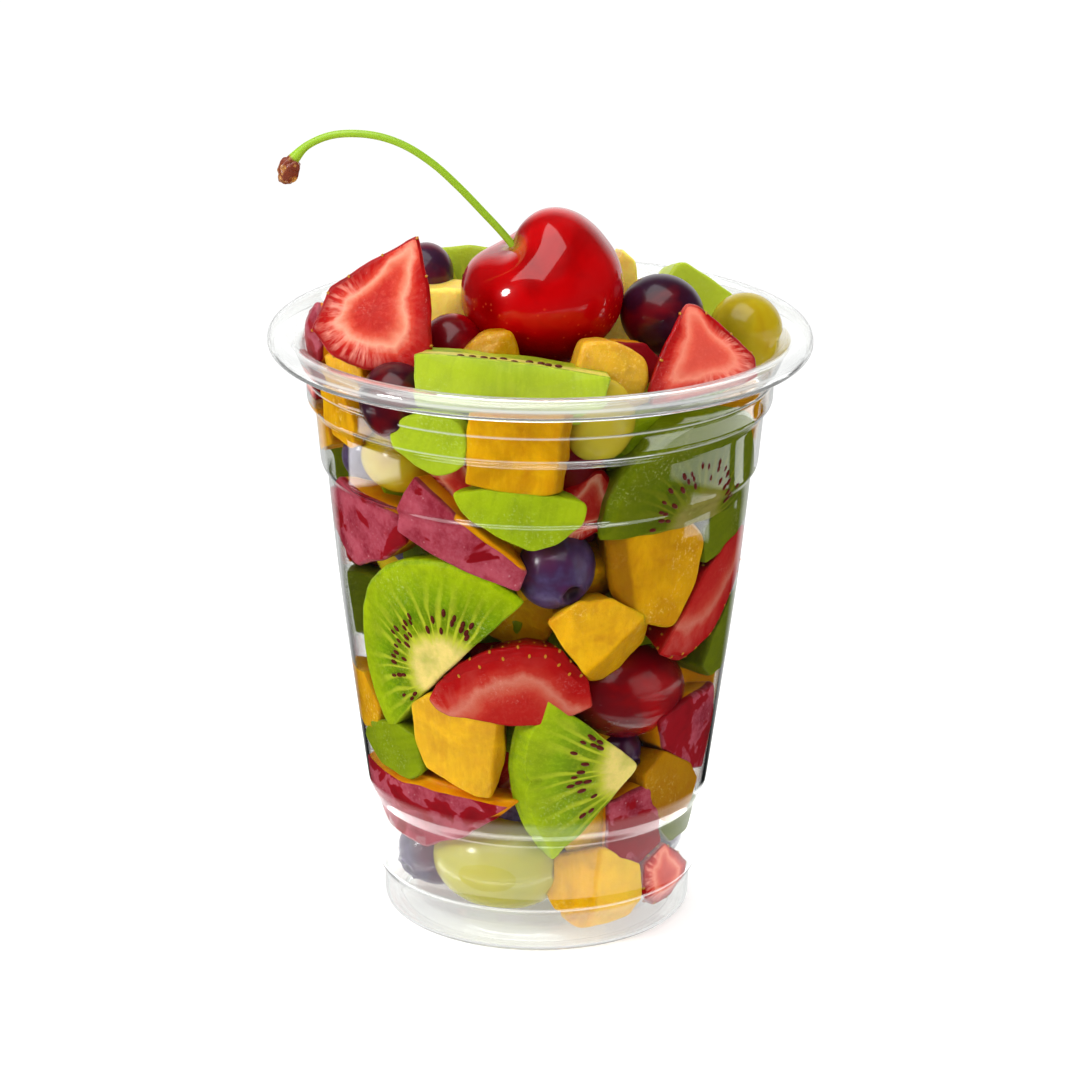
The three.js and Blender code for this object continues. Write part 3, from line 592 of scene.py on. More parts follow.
def strawberry_space(points, moved, ring, peel, lean):
    """Places on a strawberry's cut face: x and y, and the share of the way out to the skin.

    The share of a slice with a peel falls with the distance from it. That of a whole half goes
    by its outline and is less towards the tip, where the skin is thick.
    """
    if peel:
        away, outward = from_skin(points, ring, peel)
        shares, middle = 1 - 1.05 * away, -VEINS_FROM * outward
    else:
        shares = np.linalg.norm(points[..., :2], axis=-1) / np.linalg.norm(ring, axis=1)[None]
        angle = np.arctan2(points[..., 1], points[..., 0])
        tip = np.arctan2(*ring[np.argmax(ring[:, 1])][::-1])
        away = (angle - tip + np.pi) % (2 * np.pi) - np.pi
        shares = shares * (1 - TIP_SKIN * np.exp(-(away / TIP_WIDTH) ** 2))
        middle = np.zeros(2)
    turn = rotation("Z", 180 - lean)[:2, :2]
    flat = ((moved[..., :2] - middle) / np.abs(ring).max(0)) @ turn.T
    return np.concatenate([flat, shares[..., None]], -1)


def add_cut(pile, kind, outline, depth, place, *, soft=0.4, step=0.6, rough=0.18, press=None,
            grain=None, face_grain=None, lean=180, tone=0.0, seed=0, spacing=2.3, seeds=None,
            **shape):
    """Make one cut piece, put it in place and add it with its colours and seeds.

    Soft rounds the outline and rough makes the faces uneven. Press moves a piece towards the
    wall and flattens its face. The other values of the shape are those of cut_surface.
    """
    ring = even_outline(outline, step, soft)
    points, side, strip, beyond = cut_surface(ring, depth, step=step, **shape)
    moved = wobble(points, BROAD, rough, seed)
    moved = wobble(moved, FINE, rough * FINE_SHARE, seed + 9)
    if press is not None:
        moved[..., 2] = points[..., 2] + FLATTEN * (moved[..., 2] - points[..., 2]) + press
    moved = close_poles(moved)
    peel = shape.get("peel")
    fruit, skin = moved + seed * PATTERN_STEP, side
    if kind == "kiwi":
        fruit, skin = kiwi_space(moved, grain), strip
        if face_grain:
            fruit = np.where(side[..., None] > 0.4, fruit, kiwi_space(moved, face_grain))
    elif kind == "strawberry":
        fruit = strawberry_space(points, moved, ring, peel, lean)
        skin = np.clip(strip + side if peel else side * 2, 0, 1)
    elif kind == "nectarine":
        skin = 1 - np.clip(np.where(side > 0.9, side, 0) + strip, 0, 1)
    placed = place(moved)
    # Painted shade: the tone falls on the face beyond a ridge.
    pile.add(placed, fruit=fruit, skin=skin, tone=tone - RIDGE_SHADE * beyond)
    if kind == "strawberry" and spacing:
        achenes(pile, placed, skin, spacing, seed)
    if seeds:
        seeds(pile, place, ring, depth / 2 + (press or 0))


# ------------------------------------------------------------------ seeds
SPOKE_STEP = 9.5                      # degrees between the kiwi's spokes of seeds
SPOKE_PLACES = (0.43, 0.50, 0.57)     # of the seeds on a spoke, as shares of the radius
LEFT_OUT = 0.45                       # share of those places that stay empty
KIWI_SEED = (0.78, 0.4, 0.3)          # its radii: along, across and through
TOP_SEED = (0.7, 0.3, 0.4)
TOP_SEED_STEP = 1.9
ACHENE = (0.26, 0.4, 0.16)            # radii of a strawberry's seed


def kiwi_seeds(core, radius, start, end, seed):
    """Seeds round the core: up to three on a spoke, the spokes evenly spread and then shaken."""
    def scatter(pile, place, ring, front):
        """Add them on the piece's face, at that height, where they lie inside its ring."""
        random = np.random.default_rng(seed)
        spokes = np.radians(np.arange(start + 4, end, SPOKE_STEP))
        angle = np.repeat(spokes, len(SPOKE_PLACES))
        far = np.tile(SPOKE_PLACES, len(spokes))
        angle = angle + random.uniform(-0.045, 0.045, len(angle))
        far = far + random.uniform(-0.025, 0.03, len(angle))
        keep = random.random(len(angle)) > LEFT_OUT
        angle, far = angle[keep], far[keep]
        at = np.array(core) + radius * (far * np.array([np.cos(angle), np.sin(angle)])).T
        shown = is_inside(at, ring, 0.9)
        _, shape = ball(KIWI_SEED, 7, 10)
        for (x, y), turn in zip(at[shown], np.degrees(angle[shown])):
            local = shape @ rotation("Z", turn).T * random.uniform(0.8, 1.15)
            pile.add(place(local + np.array([x, y, front + 0.02])), fruit=np.zeros(3), seed=1.0)
    return scatter


def top_seeds(depth, level, low, high, seed):
    """Seeds in a row along the upper side of a piece, in the piece's own axes."""
    def scatter(pile, place, _ring, _front):
        """Add them from low to high, each a random way back from the face."""
        random = np.random.default_rng(seed)
        _, shape = ball(TOP_SEED, 7, 10)
        for x in np.arange(low, high, TOP_SEED_STEP):
            at = (x + random.uniform(-0.5, 0.5), level, depth / 2 - random.uniform(1.2, 3.4))
            pile.add(place(shape + np.array(at)), fruit=np.zeros(3), seed=1.0)
    return scatter


def is_inside(points, ring, margin):
    """Which of the flat points lie within the star-shaped ring by the margin."""
    angles = np.arctan2(ring[:, 1], ring[:, 0])
    angle = np.arctan2(points[:, 1], points[:, 0])[:, None]
    nearest = ring[np.abs((angles - angle + np.pi) % (2 * np.pi) - np.pi).argmin(1)]
    return np.linalg.norm(points, axis=1) < np.linalg.norm(nearest, axis=1) - margin


def achenes(pile, placed, skin, spacing, seed):
    """Strawberry seeds over the skin: points of it in random order, none close to another."""
    random = np.random.default_rng(seed)
    _, shape = ball(ACHENE, 6, 8)
    rows, around = np.nonzero(skin[2:-4] > 0.9)
    mixed = random.permutation(len(rows))
    rows, around = rows[mixed] + 2, around[mixed]
    spots = placed[rows, around]
    free = np.ones(len(rows), bool)
    middle = placed.reshape(-1, 3).mean(0)
    while free.any():
        first = int(np.argmax(free))
        row, column, spot = rows[first], around[first], spots[first]
        free &= np.linalg.norm(spots - spot, axis=1) > spacing
        tangent = placed[row, (column + 1) % placed.shape[1]] - placed[row, column - 1]
        outward = np.cross(placed[row + 1, column] - placed[row - 1, column], tangent)
        outward /= np.linalg.norm(outward)
        if outward @ (spot - middle) < 0:
            outward = -outward
        tangent /= np.linalg.norm(tangent)
        axes = np.array([tangent, np.cross(outward, tangent), outward])
        pile.add(shape @ axes + spot + outward * 0.04, fruit=np.zeros(3), seed=1.0)


# ------------------------------------------------------------------ round fruit
# Depths are shares of the radius, and places and widths are angles from the pole.
CROWN_RISE, CROWN_AT, CROWN_WIDTH = 0.07, 0.31, 0.08      # the ring on a blueberry
CROWN_POINTS, CROWN_UNEVEN = 5, 0.25
HOLLOW_DEPTH, HOLLOW_WIDTH = 0.16, 0.23                   # and the hollow inside it
DIMPLE_DEPTH, DIMPLE_WIDTH = 0.05, 0.14                   # a grape's dimple at its stem end
TAIL_DEPTH, TAIL_WIDTH = 0.02, 0.2                        # and at its other end


def berry_surface(kind, seed):
    """A round fruit of radius 1 with the marks of its kind at the pole.

    A blueberry has a crown: a ring that rises round a hollow. A grape has a small dimple.
    """
    unit, _ = ball((1, 1, 1), 36, 40, 1.3)
    down = np.arccos(np.clip(unit[..., 2], -1, 1))
    turn = np.arctan2(unit[..., 1], unit[..., 0])
    if kind == "blueberry":
        crown = CROWN_RISE * np.exp(-((down - CROWN_AT) / CROWN_WIDTH) ** 2)
        crown = crown * (1 + CROWN_UNEVEN * np.cos(CROWN_POINTS * turn))
        scale = 1 + crown - HOLLOW_DEPTH * np.exp(-(down / HOLLOW_WIDTH) ** 4)
    else:
        scale = (1 - DIMPLE_DEPTH * np.exp(-(down / DIMPLE_WIDTH) ** 2)
                 - TAIL_DEPTH * np.exp(-((np.pi - down) / TAIL_WIDTH) ** 2))
    return unit, close_poles(wobble(unit * scale[..., None], 9.0, 0.16, seed))


def add_berry(pile, kind, radii, seed, place, pole=None, tone=0.0):
    """A berry whose stem end points along pole in its own axes before it is placed."""
    random = np.random.default_rng(seed)
    unit, points = berry_surface(kind, seed)
    if pole is None:
        pole = GRAPE_POLE if kind in GRAPES else random.normal(size=3) + np.array([0, 0, 1.2])
    turn = np.array(Vector((0, 0, 1)).rotation_difference(Vector(pole)).to_matrix())
    shaped = (points @ turn.T) * np.array(radii)
    pile.add(place(shaped), fruit=unit, skin=1.0, tone=tone + random.uniform(-0.2, 0.2))


# ------------------------------------------------------------------ the heap
SECTOR_STEP = 9       # degrees between the points of a slice's outline


def turned(outline, degrees, grow):
    """A flat outline rotated and grown about its origin."""
    turn = rotation("Z", degrees)[:2, :2] * grow
    return np.asarray(outline) @ turn.T


def park_miller(seed):
    """The same small random sequence as the CAD's: each state is 16807 times the last."""
    state = seed
    while True:
        state = (state * 16807) % 2147483647
        yield state / 2147483647


def sector(radius, start, end):
    """The outline of a round slice cut to a sector, its middle first."""
    angle = np.radians(np.linspace(start, end, int((end - start) / SECTOR_STEP) + 2))
    return np.vstack([[(0, 0)], np.stack([radius * np.cos(angle), radius * np.sin(angle)], 1)])


def vary(draw, half):
    """How a piece of the back half differs: degrees turned, times grown and mm lifted."""
    if not half:
        return 0.0, 1.0, 0.0
    turn, grow, lift = ((next(draw) * 2 - 1) * size for size in (12, 0.05, 1.2))
    return turn, 0.98 + grow, lift


def add_wall_cut(pile, cut, half, change, step, number):
    """One cut piece of the list, bent to the wall of the front or the back half."""
    turn, grow, lift = change
    depth, kiwi = cut["depth"], cut["fruit"] == "kiwi"
    mean = np.array(cut["outline"], float).mean(0)
    scale = np.array([np.radians(1) * inner_radius(mean[1]), 1])

    def flat(points, size):
        """Places round the wall as millimetres from the piece's middle."""
        return turned((np.array(points, float) - mean) * scale, turn, grow * size)

    place = partial(bend_to_wall, azimuth=mean[0] + half, height=mean[1] + lift,
                    inset=depth / 2 + cut.get("crown", 0) + cut.get("inset", 0))
    named = {key: cut[key] for key in ("crown", "edge", "peel", "soft", "grain") if key in cut}
    add_cut(pile, cut["fruit"], flat(cut["outline"], SHRINK), depth, place,
            ridges=[(*flat(line, 1), slope) for *line, slope in cut.get("ridges", ())],
            step=step * KIWI_STEP if kiwi else step, tone=cut["tone"], seed=number,
            press=PRESS - RANK * cut.get("rank", 1), **named)


def add_wall_slice(pile, piece, half, change, step, number):
    """One kiwi slice of the list, bent to the wall, with the seeds round its core."""
    turn, grow, lift = change
    azimuth, height = piece["core"]
    outline = sector(piece["radius"], piece["start"], piece["end"])
    mean = outline.mean(0)
    flat = turned(outline - mean, turn, grow)
    core = turned(-mean[None], turn, grow)[0]
    face = (piece["radius"] - min(piece["rim"], 2)) * grow
    first, last = np.degrees(np.arctan2(flat[[1, -1], 1], flat[[1, -1], 0]))
    azimuth += np.degrees(mean[0] / inner_radius(height)) + half
    place = partial(bend_to_wall, azimuth=azimuth, height=height + mean[1] + lift,
                    inset=piece["depth"] / 2)
    add_cut(pile, "kiwi", flat, piece["depth"], place, taper=0.9,
            peel=(piece["rim"], 0.5, first, first + (last - first) % 360),
            grain=("out", *core, face), tone=piece["tone"], seed=number,
            press=PRESS - RANK * piece["rank"], soft=piece.get("soft", 0.35),
            step=step * KIWI_STEP,
            seeds=kiwi_seeds(core, face, piece["start"] + turn, piece["end"] + turn, number))


def add_wall_berry(pile, berry, half, change, number):
    """One round fruit of the list, against the wall."""
    turn, _, lift = change
    azimuth, height = berry["at"]
    place = partial(stand_at_wall, azimuth=azimuth + half, height=height + lift,
                    inset=berry["inset"], roll=berry.get("roll", 0) + turn)
    add_berry(pile, berry["kind"], berry["radii"], number, place, berry.get("pole"),
              berry.get("tone", 0.0))


def fill_wall(piles, step, seed):
    """All the pieces against the wall: the front half, then the back half by the seeded rule."""
    draw = park_miller(seed)
    number = 0
    for half in (0, 180):
        for cut in CUTS:
            if half and cut.get("front"):
                continue
            number += 1
            add_wall_cut(piles[cut["fruit"]], cut, half, vary(draw, half), step, number)
        for piece in SLICES:
            number += 1
            add_wall_slice(piles["kiwi"], piece, half, vary(draw, half), step, number)
        for berry in BERRIES:
            number += 1
            add_wall_berry(piles[berry["kind"]], berry, half, vary(draw, half), number)


def fill_behind(piles, seed):
    """Fruit in a second layer behind the wall's: golden-angle steps round and even steps up."""
    random = np.random.default_rng(seed)
    for i in range(FILL_COUNT):
        height = FILL_FROM + (i + 0.5) / FILL_COUNT * FILL_RISE
        azimuth = (i * GOLDEN_ANGLE) % 360
        kind = FILL_KINDS[random.integers(len(FILL_KINDS))]
        inset = random.uniform(12.0, 15.0)
        turns = random.uniform(-180, 180), random.uniform(-25, 25), random.uniform(-25, 25)
        grow = random.uniform(0.85, 1.15)
        if inner_radius(height) - inset < CLEAR:
            continue
        add_chunk(piles[kind], kind, (azimuth, height), inset, FILL_RADII * grow, turns,
                  i + FILL_SEED, CHUNKS[random.integers(2)])
    for i, (kind, at, inset, radii, roll) in enumerate(DEEP):
        add_chunk(piles[kind], kind, at, inset, np.array(radii), (roll, 0, 0), i + DEEP_SEED,
                  CHUNKS[0])


def add_chunk(pile, kind, at, inset, radii, turns, seed, outline):
    """A plain piece of fruit of those radii behind the wall's own."""
    roll, pitch, yaw = turns
    place = partial(stand_at_wall, azimuth=at[0], height=at[1], inset=inset, roll=roll,
                    pitch=pitch, yaw=yaw)
    if kind in BERRY_FINISHES:
        add_berry(pile, kind, radii, seed, place)
        return
    flat = np.array(outline) / CHUNK_REACH * radii[:2]
    add_cut(pile, kind, flat, radii[2] * 2, place, taper=0.85, crown=0.5, edge=0.9, soft=0.6,
            step=1.2, grain=("level", 0, 16), tone=-0.2, seed=seed, spacing=0)


def core_surface(seed):
    """The hidden middle of the heap: a cup-shaped lump that ends well inside the wall."""
    unit, _ = ball((1, 1, 1), 60, 72)
    height = CORE_FROM + CORE_RISE * (unit[..., 2] + 1) / 2
    across = np.hypot(unit[..., 0], unit[..., 1])
    radius = (inner_radius(height) - CORE_INSET) * np.minimum(across * 2.2, 1) ** 0.5
    turn = np.arctan2(unit[..., 1], unit[..., 0])
    grid = np.stack([radius * np.cos(turn), radius * np.sin(turn), height], -1)
    return close_poles(wobble(grid, 12.0, 1.6, seed))


# ------------------------------------------------------------------ the pieces on top
TOP_POLE = (0.25, 0.7, 0.7)       # where the stem end of a round fruit on top points
TOPPING_SEED = 60                 # seed of the first piece; each next one's is one more
# Each piece by its CAD node. A cut one faces an azimuth and is turned by (roll, tilt, yaw), its
# outline is in (right, up) from its middle, and pips are seeds along its upper side.
TOPPINGS = {
    "strawberry_left": dict(
        kind="strawberry", at=(-28.5, -19, 118.5), facing=-8, turn=(0, -12, 0), depth=12,
        taper=0.6, lean=205, spacing=4.5,
        outline=[(7.7, 13.7), (10.0, 4.4), (10.9, -6.2), (7.5, -10.6), (-0.9, -10.2),
                 (-7.1, -8), (-10.7, -3.4), (-7.6, 3.9), (-0.5, 8.9)]),
    "strawberry_right": dict(
        kind="strawberry", at=(28, -19.5, 112), facing=12, turn=(0, -12, 0), depth=10,
        taper=0.6, tone=0.8, lean=-25, spacing=4.5,
        outline=[(-3.4, 8.4), (-1.2, 7.8), (1.5, 5.6), (5.8, 1.6), (8.9, -1.6), (9, -4.6),
                 (5.6, -6.2), (-0.6, -7.2), (-10.2, -9), (-10.9, -6.8), (-7.4, 1.4)]),
    "black_grape": dict(kind="black_grape", at=(22.4, -6, 114), radii=(7.5, 7.5, 7.5)),
    "green_grape_right": dict(kind="green_grape", at=(38.0, 3, 109), radii=(6.8, 6.8, 6.8)),
    "black_grape_back": dict(kind="black_grape", at=(-20.5, 8, 118.5), radii=(5.2, 5.2, 5.2)),
    "black_grape_left": dict(kind="black_grape", at=(-24.8, -28.2, 103.8),
                             radii=(6.8, 6.8, 6.8)),
    "green_grape_front": dict(kind="green_grape", at=(11, -32.6, 103.5), radii=(6.2, 6.2, 7.4)),
    "kiwi_front": dict(
        kind="kiwi", at=(-4.8, -30.5, 108.7), facing=-4, turn=(-5, -7.5, 0), depth=12,
        taper=0.9, crown=0.8, edge=0.35, rough=0.1, soft=0.3, grain=("across", 4.6, 4.4, 6.4),
        face_grain=("level", 90, 11.5), tone=0.4, pips=(4.6, -9, 9),
        outline=[(-17.0, 4.3), (-8, 4.7), (4, 4.6), (17.2, 3.9), (16.2, -1), (14.6, -4.6),
                 (6, -5.6), (-6, -5.6), (-15.6, -5.0), (-16.7, 0)]),
    "mango_front_right": dict(
        kind="mango", at=(11.5, -23.5, 110), facing=15, turn=(-25, 0, 0), depth=9, taper=0.8,
        crown=1.6, edge=1.3, soft=1.1, tone=0.35,
        outline=[(-7, 3), (-2, 5), (5, 4.5), (7.5, 0), (6.5, -4.5), (-6, -5)]),
    "mango_front_left": dict(
        kind="mango", at=(-9, -21, 111.5), facing=0, turn=(20, 0, 0), depth=8, taper=0.8,
        crown=1.2, edge=1.6, soft=1.1, tone=-0.5,
        outline=[(-5.5, 2), (0, 4.5), (5.5, 3.5), (5, -4), (-5, -4.5)]),
    "red_grape": dict(kind="red_grape", at=(-15.5, -15, 109.8), radii=(6, 6, 6)),
    # The two mango pieces at the back have tone 1.6: painted light, paler flesh that stands for
    # more light than reaches them.
    "mango_back_left": dict(
        kind="mango", at=(-15, 1.5, 112), facing=-10, turn=(0, 0, 0), depth=11, taper=0.85,
        tone=1.6, outline=[(-6.5, 6), (6, 6.5), (6.5, -6), (-6, -6)]),
    "mango_upright": dict(
        kind="mango", at=(14.2, 7, 114.5), facing=10, turn=(-6, 0, 0), depth=8, taper=0.85,
        tone=1.6,
        outline=[(-1, 9.5), (1.6, 7), (3.2, 0), (3, -8.5), (-3, -8.5), (-2.8, 4)]),
    "kiwi_back_left": dict(
        kind="kiwi", at=(-13, 17, 113), facing=0, turn=(0, -15, 0), depth=7, taper=0.9,
        grain=("out", 0, -5, 12.5), tone=0.5,
        outline=[(-13.4, -5), (-13.2, 4.6), (-10, 6.8), (0, 7.8), (8, 6.8), (11, 2),
                 (12, -5)]),
    "kiwi_back_right": dict(
        kind="kiwi", at=(27.4, 16, 112.6), facing=20, turn=(0, -16, 0), depth=9, taper=0.9,
        grain=("level", 0, 18), tone=0.9,
        outline=[(-8, 0.6), (-3.6, 5.6), (-1.8, 5.5), (3.4, 1.8), (7.2, -1.4), (6.2, -6),
                 (-8, -6)]),
    "nectarine_left": dict(
        kind="nectarine", at=(-36.6, -7.5, 111), facing=-75, turn=(80, 0, 0), depth=8,
        taper=0.8, crown=1.5, tone=-0.2,
        outline=[(-6.5, 0), (-3, 4), (3, 4.2), (6.5, 0), (3, -4), (-3, -4)]),
    "nectarine_right": dict(
        kind="nectarine", at=(16.5, -15, 107.5), facing=20, turn=(-50, 0, 0), depth=7,
        taper=0.8, crown=1, tone=-0.5,
        outline=[(-7.5, 0), (-3, 4), (3, 4), (7.5, 0), (3, -3.5), (-3, -3.5)]),
    "mango_left": dict(
        kind="mango", at=(-31.5, -17.5, 106.5), facing=-50, turn=(10, 0, 0), depth=8,
        taper=0.85, tone=-0.1, outline=[(-5.5, 4), (5, 4.5), (5.5, -4), (-5, -4)]),
    "strawberry_back": dict(
        kind="strawberry", at=(-3, 31.5, 107), facing=180, turn=(8, -20, 0), depth=9,
        taper=0.6, tone=0.3,
        outline=[(-10, 3), (-4, 6), (5, 6), (10, 2), (9, -5), (0, -6.5), (-9, -4)]),
    "green_grape_back": dict(kind="green_grape", at=(-22, 27, 105), radii=(6.6, 6.6, 6.6)),
    "mango_back_right": dict(
        kind="mango", at=(16.5, 31, 102), facing=155, turn=(12, -15, 0), depth=10, taper=0.85,
        tone=0.2, outline=[(-7, 5), (6, 6), (7, -5), (-6, -5.5)]),
    "red_grape_back": dict(kind="red_grape", at=(9, 21.5, 107), radii=(6.6, 6.6, 6.6)),
    "kiwi_middle": dict(
        kind="kiwi", at=(-3, 8.5, 108.5), facing=170, turn=(10, -35, 0), depth=9, taper=0.85,
        grain=("out", 0, -5, 12), tone=0.2,
        outline=[(-8, -5), (-7.5, 2), (-4, 6.5), (3, 6.5), (8, 2), (8, -5)]),
    "mango_right": dict(
        kind="mango", at=(22.5, 19, 104.5), facing=130, turn=(-10, -25, 0), depth=10,
        taper=0.85, tone=0.3, outline=[(-6, 5.5), (6.5, 5), (6, -6), (-6.5, -5)]),
    "blueberry_back": dict(kind="blueberry", at=(29, 26.5, 103.6), radii=(6, 6, 6)),
    "nectarine_back": dict(
        kind="nectarine", at=(-34, 15, 103), facing=245, turn=(-15, -10, 0), depth=9, taper=0.8,
        crown=1.5, outline=[(-8, 0), (-4, 5), (4, 5.5), (9, 1), (4, -4.5), (-4, -4.5)]),
}


def add_topping(pile, name, step, seed):
    """One piece on top, by its entry in the list."""
    piece = dict(TOPPINGS[name])
    kind, at = piece.pop("kind"), np.array(piece.pop("at"))
    if "radii" in piece:
        add_berry(pile, kind, piece["radii"], seed, lambda points: points + at, TOP_POLE)
        return
    place = partial(facing, at=at, azimuth=piece.pop("facing"), turn=piece.pop("turn"))
    outline, depth = piece.pop("outline"), piece.pop("depth")
    if "pips" in piece:
        piece["seeds"] = top_seeds(depth, *piece.pop("pips"), seed)
    elif kind == "kiwi" and piece["grain"][0] == "out":
        _, x, y, radius = piece["grain"]
        piece["seeds"] = kiwi_seeds((x, y), radius, 0, 180, seed)
    add_cut(pile, kind, outline, depth, place, step=step, seed=seed, **piece)


# ------------------------------------------------------------------ the cherry and its stem
CHERRY_AT = np.array([0.2, -8, 120.3])
CHERRY_AXIS = Vector((-0.57, -0.06, 0.80)).normalized()
STEM_ROUTE = np.array([
    (-4.0, -9.0, 125.2), (-4.8, -8.9, 127.4), (-6.9, -8.5, 130.0), (-10.3, -8.1, 133.6),
    (-14.6, -8, 138.1), (-19.2, -8, 142.3), (-24.4, -8, 145.6), (-30, -8, 147.3),
    (-36.2, -8, 147.3), (-41, -8, 145.4), (-44.2, -8, 142.2)])
KNOB_AT = np.array([-44.5, -8, 140.8])
STEM_SIDES = 20
FLARE = 0.06                           # share of the stem that is thicker at each end
FOOT_GROWS, TIP_GROWS = 0.5, 0.7       # by how much
WOODY_FOOT, WOODY_TIP = 0.02, 0.03     # shares of the stem that are brown
# The lumps of the stem's woody end: the shift from its middle, the radii and the seed.
KNOB_LUMPS = (((0, 0, 0), (1.9, 1.8, 2.4), 3), ((0.6, -0.3, 0.9), (1.5, 1.4, 1.3), 4),
              ((-0.5, 0.2, -1.3), (1.4, 1.5, 1.2), 5))
# The cherry's outline as (degrees from its axis, radius to the right, to the left).
CHERRY_PROFILE = np.array([
    (0, 0.64, 0.64), (9, 0.74, 0.67), (18, 0.83, 0.74), (28, 0.91, 0.85), (38, 0.968, 0.94),
    (50, 1.0, 0.99), (62, 1.005, 1.015), (76, 0.993, 1.03), (90, 0.988, 1.034),
    (107, 1.01, 1.022), (125, 1.02, 0.98), (150, 1.035, 0.965), (180, 1.0, 1.0)])
# The same between the lobes, at the front and the back, as (degrees, radius).
CHERRY_FRONT = np.array([(0, 0.64), (14, 0.65), (28, 0.72), (44, 0.83), (62, 0.93), (90, 1.0),
                         (125, 1.0), (150, 1.0), (180, 1.0)])


def cherry_surface(radius):
    """A heart-shaped ball about the cherry's axis.

    Its radius goes by the angle from the axis: one curve for each lobe, and a lower one at
    the front and back where the lobes meet. Between them it turns with the squared cosine.
    """
    unit, _ = ball((1, 1, 1), 96, 128)
    down = np.degrees(np.arccos(np.clip(unit[..., 2], -1, 1)))
    turn = np.arctan2(unit[..., 1], unit[..., 0])
    lobes, front = smooth_route(CHERRY_PROFILE, 8), smooth_route(CHERRY_FRONT, 8)
    right, left = (np.interp(down, lobes[:, 0], lobes[:, side]) for side in (1, 2))
    lobe = (right + left + (right - left) * np.cos(turn)) / 2
    middle = np.interp(down, front[:, 0], front[:, 1])
    scale = radius * (middle + (lobe - middle) * np.cos(turn) ** 2)
    points = unit * scale[..., None]
    turn_matrix = np.array(Vector((0, 0, 1)).rotation_difference(CHERRY_AXIS).to_matrix())
    return unit, points @ turn_matrix.T + CHERRY_AT


def smooth_route(points, count):
    """A Catmull-Rom curve through the points, count steps to each span."""
    points = np.vstack([2 * points[0] - points[1], points, 2 * points[-1] - points[-2]])
    t = np.linspace(0, 1, count, endpoint=False)[:, None]
    spans = []
    for a, b, c, d in zip(points[:-3], points[1:-2], points[2:-1], points[3:]):
        spans.append(0.5 * (2 * b + (c - a) * t + (2 * a - 5 * b + 4 * c - d) * t ** 2
                            + (3 * b - a - 3 * c + d) * t ** 3))
    return np.vstack(spans + [points[-2:-1]])


def tube(route, radii, around):
    """Rings of those radii carried along a route, closed at both ends."""
    ahead = np.gradient(route, axis=0)
    ahead /= np.linalg.norm(ahead, axis=1, keepdims=True)
    side = np.cross(ahead, [0, 1, 0])
    side /= np.linalg.norm(side, axis=1, keepdims=True)
    other = np.cross(side, ahead)
    turn = np.linspace(0, 2 * np.pi, around, endpoint=False)
    rings = (route[:, None] + radii[:, None, None]
             * (np.cos(turn)[None, :, None] * side[:, None]
                + np.sin(turn)[None, :, None] * other[:, None]))
    ends = [np.repeat(route[i][None, None], around, 1) for i in (0, -1)]
    return np.concatenate([ends[0], rings, ends[1]])


def stem_surface(radius):
    """The stem: a tube that flares where it meets the cherry and swells into the knob."""
    route = smooth_route(STEM_ROUTE, 12)
    along = np.linspace(0, 1, len(route))
    foot, tip = np.exp(-(along / FLARE) ** 2), np.exp(-((1 - along) / FLARE) ** 2)
    radii = radius * (1 + FOOT_GROWS * foot + TIP_GROWS * tip)
    return along, tube(route, radii, STEM_SIDES)


